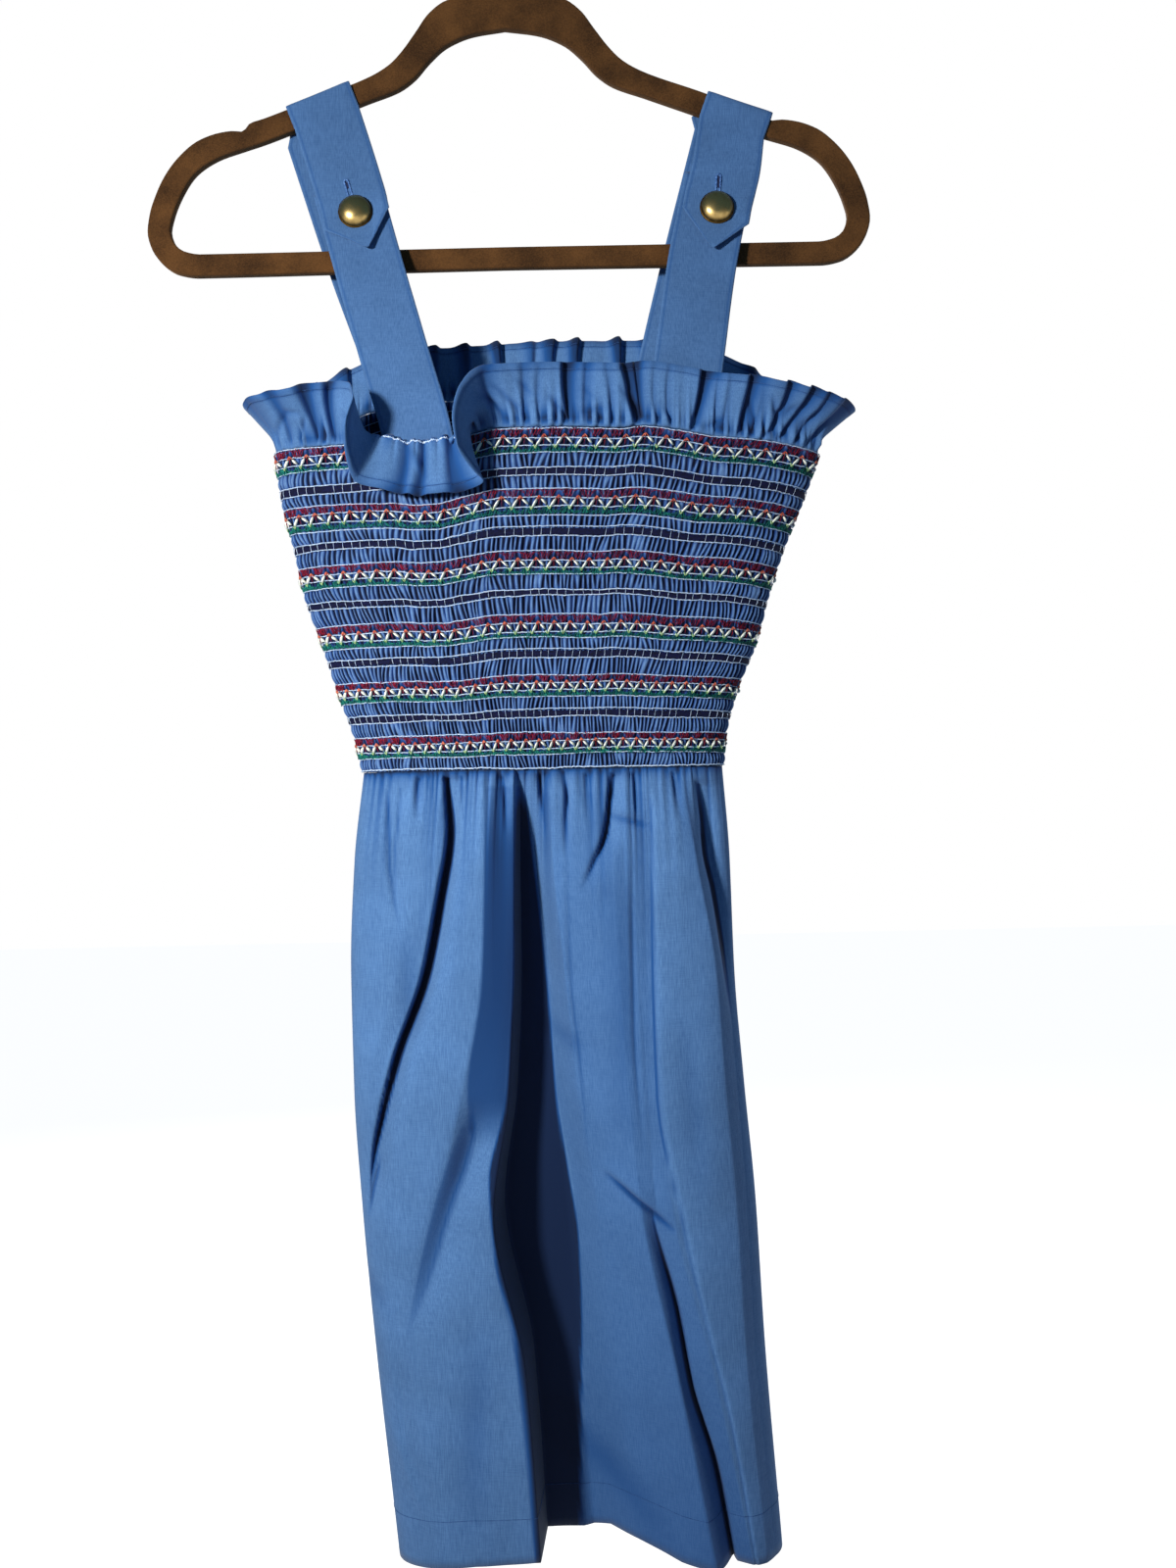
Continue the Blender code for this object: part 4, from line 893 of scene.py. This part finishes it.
def rounded_band(name, rows, material):
    """A strap from rows of middle points: a flat band with soft rolled edges, closed."""
    rows = np.asarray(rows, float)
    count, columns = rows.shape[:2]
    normal = np.cross(np.gradient(rows, axis=1), np.gradient(rows, axis=0))
    normal /= np.linalg.norm(normal, axis=2)[:, :, None] + 1e-9
    edge = np.linspace(-1, 1, columns)
    from_stitch = np.abs(edge) - 0.86
    thick = 0.55 * np.sqrt(np.clip(1 - np.abs(edge) ** 14, 0.05, 1))
    thick = thick - 0.16 * np.exp(-(from_stitch / 0.022) ** 2)
    ends = np.ones((count, 1))
    ends[[0, -1]] = 0.35
    along = np.arange(count)[:, None] * 0.13
    ripple = 0.30 * np.sin(along * 2.2 + edge * 1.4) * np.sin(along * 0.9 + 1.0) * ends
    rows = rows + normal * ripple[:, :, None]
    lift = normal * (ends * thick)[:, :, None]
    size = count * columns
    faces = grid_faces(count, columns) + [face[::-1] for face in grid_faces(count, columns, base=size)]
    for r in range(count - 1):
        a, b = r * columns, (r + 1) * columns
        faces.append((a, b, b + size, a + size))
        a, b = a + columns - 1, b + columns - 1
        faces.append((a + size, b + size, b, a))
    for c in range(columns - 1):
        faces.append((c, c + size, c + 1 + size, c + 1))
        a = size - columns + c
        faces.append((a + 1, a + 1 + size, a + size, a))
    # painted shade along the stitched groove near each edge
    shade = np.tile(0.35 * np.exp(-(from_stitch / 0.03) ** 2), 2 * count)
    return add_mesh(name, np.array((rows + lift, rows - lift)) * MM, faces, material, shade)


# places across a strap, closer together at its edges
across_band = np.sin(np.linspace(-1, 1, 33) * math.pi / 2) * 0.25 + np.linspace(-1, 1, 33) * 0.75


def band_row(middle, drop, tilt, half, depth_at):
    """Points across a strap, tilted in degrees; depth_at gives each point's depth."""
    tilt = math.radians(tilt)
    row = []
    for share in across_band:
        x = middle + share * half * math.cos(tilt)
        low = drop - share * half * math.sin(tilt)
        row.append((x, depth_at(x, low, share), -low))
    return row


def strap_rows(table, knots, lines, depth_at):
    """Rows down a strap from its table of places across, drops and tilts."""
    rows = []
    for line in lines:
        middle, drop, tilt = (float(smooth(knots, values, line)) for values in table)
        rows.append(band_row(middle, drop, tilt, STRAP_HALF, depth_at))
    return rows


# the rear strap's way over the hanger's arm: depth, height, and slide along the arm
WRAP = np.array((
    (NEAR, -14, -5), (NEAR, -7, -2.5), (NEAR + 0.2, -1, -0.5), (NEAR - 0.4, 1.0, 0), (2.6, 1.7, 0),
    (0, 1.9, 0), (-2.6, 1.7, 0), (0.4 - NEAR, 1.0, 0), (-NEAR - 0.2, -1, 0), (-NEAR, -7, 0),
    (-NEAR, -15, 0),
))
wrap_run = np.concatenate(([0], np.cumsum(np.linalg.norm(np.diff(WRAP, axis=0), axis=1))))
saddle = [smooth(wrap_run, WRAP[:, k], np.linspace(0, wrap_run[-1], 44)) for k in range(3)]

# the same cotton a little darker on the straps: painted shade
shaded_strap_cotton = chambray("strap_cotton_painted_shade", "#567DAE", "#3C6190", "#1C4F8C", "#07122E")
for hand in ("left", "right"):
    seat_x, seat_drop, seat_tilt = ARM_SEAT[hand]
    seat_turn = math.radians(seat_tilt)

    def rear_at(x, low, share):
        return max(lean_to_wall(1, x, low, NEAR, REARS[hand][1][0] - 6), NEAR)

    rows = strap_rows(REARS[hand], (0, 0.45, 0.93, 1.0), np.linspace(1, 0, 60), rear_at)
    for depth, high, slide in zip(*saddle):
        row = []
        for share in across_band:
            along = share * STRAP_HALF + slide
            row.append((seat_x + along * math.cos(seat_turn) - high * math.sin(seat_turn), depth,
                        -seat_drop + along * math.sin(seat_turn) + high * math.cos(seat_turn)))
        rows.append(row)
    xs, drops, tilts = TABS[hand]
    base_drop = seat_drop + 15 * math.cos(seat_turn)
    knots = (base_drop,) + drops
    xs = (seat_x + 15 * math.sin(seat_turn),) + xs
    tilts = (seat_tilt,) + tilts

    def tab_at(x, low, share):
        """The tab's depth: its point and its slanting edge at the right stand off the front strap."""
        point = 3.6 * min(max((low - drops[3] - 1) / (drops[6] - drops[3] - 1), 0), 1) ** 0.8
        edge = 2.8 * min(max((share - 0.35) / 0.5, 0), 1) * min(max((drop - drops[1] - 4) / 12, 0), 1)
        seat = base_drop - share * STRAP_HALF * math.sin(seat_turn)
        return tab_depth(x, low, seat) - max(point, edge)

    tab_drops = (np.linspace(base_drop + 1.5, drops[4], 44), np.linspace(drops[4], drops[6], 16)[1:])
    for drop in np.concatenate(tab_drops):
        middle, tilt = (float(smooth(knots, values, drop)) for values in (xs, tilts))
        half = float(np.interp(drop, knots, (STRAP_HALF,) + TAB_HALF))
        rows.append(band_row(middle, drop, tilt, half, tab_at))
    strap = rounded_band("rear_strap_" + hand, rows, shaded_strap_cotton)
    piece(strap, "cotton", "strap_back_" + hand)

    rows = strap_rows(FRONTS[hand], (0, 0.3, 0.6, 0.92, 1.0), np.linspace(0, 1, 70),
                      lambda x, low, share: front_depth(x, low))
    strap = rounded_band("front_strap_" + hand, rows, shaded_strap_cotton)
    piece(strap, "cotton", "strap_front_" + hand)


# Buttonholes: a slit with a round eye at its lower end, bound all round with close blue
# stitches. The button's shank passes through the eye.

# the slit is a dark sheet: painted shadow inside the cut
slit_dark, tree, shader = node_material("slit_shadow")
grain = node(tree, "ShaderNodeTexNoise", Scale=800.0)
dark = node(tree, "ShaderNodeMix", MIX, _0=(grain, "Fac"), _6=linear("#0C1330"), _7=linear("#1B2A55"))
set_inputs(tree, shader, Base_Color=(dark, 2), Roughness=0.9)
hole_thread = thread_material("buttonhole_thread", "#6C94CC", "#2F5692")
SLIT_TOP = -20.5
SLIT_FOOT = -3
RING_HALF = 1.25
RING_POINTS = 120
for hand in ("left", "right"):
    bx, bdrop = BUTTONS[hand]
    seat_x, seat_drop, seat_tilt = ARM_SEAT[hand]
    base = seat_drop + 15 * math.cos(math.radians(seat_tilt))
    lean = math.radians(16 if hand == "left" else -5)

    def on_tab(along, across, lift):
        """A point on the tab, measured from the button along and across the slit."""
        x = bx + math.sin(lean) * along + math.cos(lean) * across
        z = -bdrop - math.cos(lean) * along + math.sin(lean) * across
        return x, tab_depth(x, -z, base) - lift, z

    ring = []
    for k in range(RING_POINTS):
        t = k / RING_POINTS
        if t < 0.42:
            along, across = SLIT_TOP + t / 0.42 * 17.5, -RING_HALF
        elif t < 0.5:
            turn = (t - 0.42) / 0.08 * math.pi
            along, across = SLIT_FOOT + 2 * math.sin(turn), -RING_HALF * math.cos(turn)
        elif t < 0.92:
            along, across = SLIT_FOOT - (t - 0.5) / 0.42 * 17.5, RING_HALF
        else:
            turn = (t - 0.92) / 0.08 * math.pi
            along, across = SLIT_TOP - RING_HALF * math.sin(turn), RING_HALF * math.cos(turn)
        ring.append(on_tab(along, across, 0.62 + 0.22 * (k % 2)))
    ring.append(ring[0])
    path = (ring, np.tile((0, -1, 0.12), (len(ring), 1)), np.full(len(ring), 0.62))
    piece(tube_mesh("buttonhole_stitches_" + hand, [path], hole_thread, 6), "cotton")
    slit = []
    for along in np.linspace(SLIT_TOP, SLIT_FOOT, 12):
        slit += [on_tab(along, across, 0.66) for across in (-0.75, 0.75)]
    cut = add_mesh("buttonhole_slit_" + hand, np.array(slit) * MM, grid_faces(12, 2), slit_dark)
    piece(cut, "cotton")


# Buttons: stamped domes of aged brass with a turned rim, on a wire shank. The tops are
# rubbed bright and brown tarnish stays round the rim.

brass, tree, shader = node_material("aged_brass")
place = (node(tree, "ShaderNodeTexCoord"), "Object")
blotch = node(tree, "ShaderNodeTexNoise", Vector=place, Scale=260.0, Detail=5.0)
reach = node(tree, "ShaderNodeMapRange", Value=(blotch, "Fac"), From_Min=0.42, From_Max=0.68)
rim = (node(tree, "ShaderNodeAttribute", {"attribute_name": "painted_shade_and_tarnish"}), "Fac")
brown = node(tree, "ShaderNodeMath", {"operation": "MULTIPLY_ADD", "use_clamp": True},
             _0=(reach, "Result"), _1=0.35, _2=rim)
mix = node(tree, "ShaderNodeMix", MIX, _0=(brown, "Value"), _6=linear("#C2A468"), _7=linear("#4A3718"))
rough = node(tree, "ShaderNodeMapRange", Value=(brown, "Value"), To_Min=0.27, To_Max=0.55)
dents = node(tree, "ShaderNodeBump", Height=(blotch, "Fac"), Strength=0.12, Distance=0.0003)
set_inputs(tree, shader, Base_Color=(mix, 2), Metallic=1.0, Roughness=(rough, "Result"),
           Normal=(dents, "Normal"))

# the half section, as radius and height over the tab's middle: dome, turned rim, back and shank
TAB_FACE = 0.6 + 0.5
BUTTON_TURNS = 72
profile = [(0.0, TAB_FACE + 6.8)]
for i in range(1, 15):
    angle = i / 15 * math.pi / 2 * 0.96
    profile.append((9.75 * math.sin(angle), TAB_FACE + 1.5 + 5.3 * math.cos(angle)))
RIM = ((9.8, 1.6), (9.95, 1.35), (10.35, 1.35), (10.5, 0.95), (10.35, 0.4), (9.8, 0), (1.4, 0))
for radius, height in RIM:
    profile.append((radius, TAB_FACE + height))
profile += [(1.4, -0.72), (0.0, -0.72)]
size = len(profile)
points = []
rims = []
faces = []
for k in range(BUTTON_TURNS):
    angle = 2 * math.pi * k / BUTTON_TURNS
    for radius, height in profile:
        points.append((radius * math.cos(angle), -height, radius * math.sin(angle)))
        rims.append(min(max((radius - 8.2) / 1.8, 0), 1) if height > TAB_FACE + 0.2 else 0.9)
    n = (k + 1) % BUTTON_TURNS
    for i in range(size - 1):
        a, b, c, d = k * size + i, k * size + i + 1, n * size + i + 1, n * size + i
        # the first and last rings close to a point on the axis
        faces.append((a, b, c) if i == 0 else (a, b, d) if i == size - 2 else (a, b, c, d))

for hand in ("left", "right"):
    bx, bdrop = BUTTONS[hand]
    depth = tab_depth(bx, bdrop, 150)
    slope = (tab_depth(bx, bdrop + 4, 150) - tab_depth(bx, bdrop - 4, 150)) / 8
    spin = np.array(Matrix.Rotation(math.atan(slope), 3, "X"))
    placed = np.array(points) @ spin.T + np.array((bx, depth, -bdrop))
    dome = add_mesh("brass_dome_" + hand, placed * MM, faces, brass, rims)
    piece(dome, "brass_button", "button_" + hand)


# Hanger: one thin moulded plastic outline, rounded at its edges and covered all over with
# short brown flock, with a notch in each shoulder. Its wire hook is plain bright steel.

# the right half of the outline and of its opening: place across and drop
HANGER_OUTER = (
    (0, 66), (20, 67), (36, 71), (47, 79), (55, 90), (64, 102), (72, 110), (84, 117), (117, 129.3),
    (150, 141.5), (158, 144), (163, 149), (169, 148.5), (177, 149.5), (190, 154), (202, 163.5),
    (211, 175), (217, 187), (221, 199), (222.5, 210), (220.5, 219), (214, 229), (204, 235.5),
    (192, 237.5), (96, 237.0), (0, 236.5),
)
HANGER_INNER = (
    (0, 89), (20, 92), (36, 98.5), (47, 108), (56, 118), (66, 125), (85, 132), (117, 143.8), (150, 156),
    (163, 160), (178, 165), (192, 174), (201, 187), (206.5, 200), (208.5, 209), (206, 217), (200, 222),
    (190, 224), (95, 223.8), (0, 223.5),
)


def along_table(table, count=None, spacing=None):
    """Points evenly along a smooth line through a table of two columns."""
    table = np.array(table, float)
    run = np.concatenate(([0], np.cumsum(np.hypot(*np.diff(table, axis=0).T))))
    at = np.linspace(0, run[-1], count or int(run[-1] / spacing))
    return smooth(run, table[:, 0], at), smooth(run, table[:, 1], at)


flock, tree, shader = node_material("brown_flock")
place = (node(tree, "ShaderNodeTexCoord"), "Object")
fuzz = node(tree, "ShaderNodeTexNoise", Vector=place, Scale=1400.0, Detail=2.0)
worn = node(tree, "ShaderNodeTexNoise", Vector=place, Scale=45.0, Detail=3.0)
both = node(tree, "ShaderNodeMath", SUM, _0=(fuzz, "Fac"), _1=0.6, _2=(worn, "Fac"))
reach = node(tree, "ShaderNodeMapRange", Value=(both, "Value"), From_Min=0.55, From_Max=1.05)
mix = node(tree, "ShaderNodeMix", MIX, _0=(reach, "Result"), _6=linear("#3A2410"), _7=linear("#6A4522"))
bump = node(tree, "ShaderNodeBump", Height=(fuzz, "Fac"), Strength=0.5, Distance=0.0004)
set_inputs(tree, shader, Base_Color=(mix, 2), Normal=(bump, "Normal"), Roughness=0.92,
           Specular_IOR_Level=0.15, Sheen_Weight=0.35, Sheen_Roughness=0.4, Sheen_Tint=linear("#B98A5A"))

outline = bpy.data.curves.new("hanger_outline", "CURVE")
outline.dimensions = "2D"
outline.fill_mode = "BOTH"
outline.extrude = 2.05 * MM
outline.bevel_depth = 1.2 * MM
outline.bevel_resolution = 3
outline.offset = -1.2 * MM
for half in (HANGER_OUTER, HANGER_INNER):
    x, drop = along_table(half, spacing=3.2)
    right = np.column_stack((x, -drop))
    points = np.concatenate((right, right[-2:0:-1] * (-1, 1)))
    spline = outline.splines.new("POLY")
    spline.points.add(len(points) - 1)
    for target, (x, z) in zip(spline.points, points):
        target.co = (x * MM, z * MM, 0, 1)
    spline.use_cyclic_u = True
flat = bpy.data.objects.new("hanger_flat", outline)
bpy.context.scene.collection.objects.link(flat)
flat.rotation_euler = (math.pi / 2, 0, 0)
bpy.context.view_layer.update()
mesh = bpy.data.meshes.new_from_object(flat.evaluated_get(bpy.context.evaluated_depsgraph_get()))
mesh.transform(flat.matrix_world)
bpy.data.objects.remove(flat)
mesh.materials.clear()
mesh.materials.append(flock)
body = bpy.data.objects.new("flocked_hanger", mesh)
bpy.context.scene.collection.objects.link(body)
mesh.shade_smooth()
mesh.set_sharp_from_angle(angle=math.radians(50))
piece(body, "flocked_hanger", "hanger")

steel, tree, shader = node_material("hook_steel")
place = (node(tree, "ShaderNodeTexCoord"), "Object")
drawn = node(tree, "ShaderNodeTexNoise", Vector=place, Scale=500.0, Detail=3.0)
rough = node(tree, "ShaderNodeMapRange", Value=(drawn, "Fac"), To_Min=0.22, To_Max=0.42)
set_inputs(tree, shader, Base_Color=linear("#A9A8A4"), Metallic=1.0, Roughness=(rough, "Result"))
# up from the hanger's neck, then round a 20.7 mm bend
turn = [(0, -65.7), (0, -58), (2, -51), (7.5, -44.5), (14, -37.5)]
for i in range(19):
    angle = math.radians(-28 + i * 12.4)
    turn.append((20.7 * math.cos(angle), -19 + 20.7 * math.sin(angle)))
x, z = along_table(turn, count=150)
radii = np.full(150, 1.7)
radii[[0, -1]] = 1.3
path = (np.column_stack((x, np.zeros(150), z)), np.tile((0, -1, 0), (150, 1)), radii)
piece(tube_mesh("hook_wire_bent", [path], steel, 20), "hook_wire", "hanger_hook")


# Studio: a plain pale floor well below the hem, a white surround, a soft key from the left
# and a weak fill, and the camera level with the waist as in the picture.

floor_material, tree, shader = node_material("pale_floor")
set_inputs(tree, shader, Base_Color=linear("#8C8C8A"), Roughness=0.8, Emission_Color=(1, 1, 1, 1),
           Emission_Strength=0.95)
floor = add_mesh("floor", ((-6, -6, -1.28), (6, -6, -1.28), (6, 6, -1.28), (-6, 6, -1.28)), [(0, 1, 2, 3)],
                 floor_material)
floor.visible_diffuse = False

world = bpy.data.worlds.new("white_surround")
bpy.context.scene.world = world
world.use_nodes = True
tree = world.node_tree
ambient = tree.nodes["Background"]
set_inputs(tree, ambient, Color=(0.30, 0.63, 1.0, 1), Strength=0.18)
# the camera sees plain white, and the cloth is lit by a faint blue
seen = node(tree, "ShaderNodeBackground", Color=(1, 1, 1, 1), Strength=1.0)
camera_ray = (node(tree, "ShaderNodeLightPath"), "Is Camera Ray")
both = node(tree, "ShaderNodeMixShader", _0=camera_ray, _1=(ambient, 0), _2=(seen, 0))
set_inputs(tree, tree.nodes["World Output"], Surface=(both, 0))
bpy.context.scene.view_settings.view_transform = "Standard"


def area_light(name, place, target, size, power, colour, spread=180):
    data = bpy.data.lights.new(name, "AREA")
    data.shape = "DISK"
    data.size = size
    data.energy = power
    data.spread = math.radians(spread)
    data.color = colour
    lamp = bpy.data.objects.new(name, data)
    bpy.context.scene.collection.objects.link(lamp)
    lamp.location = place
    lamp.rotation_euler = (Vector(target) - Vector(place)).to_track_quat("-Z", "Y").to_euler()


area_light("key", (-0.76, -1.12, -0.28), (0.02, 0.0, -0.50), 0.17, 4.9, (1.0, 0.985, 0.965), 84)
area_light("right_fill", (1.75, 0.60, -0.2), (0.02, 0.0, -0.55), 1.2, 6, (0.92, 0.96, 1.0))
area_light("rear_fill", (-0.4, 1.9, 0.2), (0.02, 0.0, -0.55), 1.0, 30, (1.0, 0.98, 0.95))

lens = bpy.data.cameras.new("camera")
lens.sensor_width = 36
lens.lens = 36 * 1488 / 1600
camera = bpy.data.objects.new("camera", lens)
bpy.context.scene.collection.objects.link(camera)
camera.matrix_world = (Matrix.Translation((0.0415, -0.900, -0.555)) @ Matrix.Rotation(math.pi / 2, 4, "X")
                       @ Matrix.Rotation(math.radians(-1.2), 4, "Z"))
bpy.context.scene.camera = camera
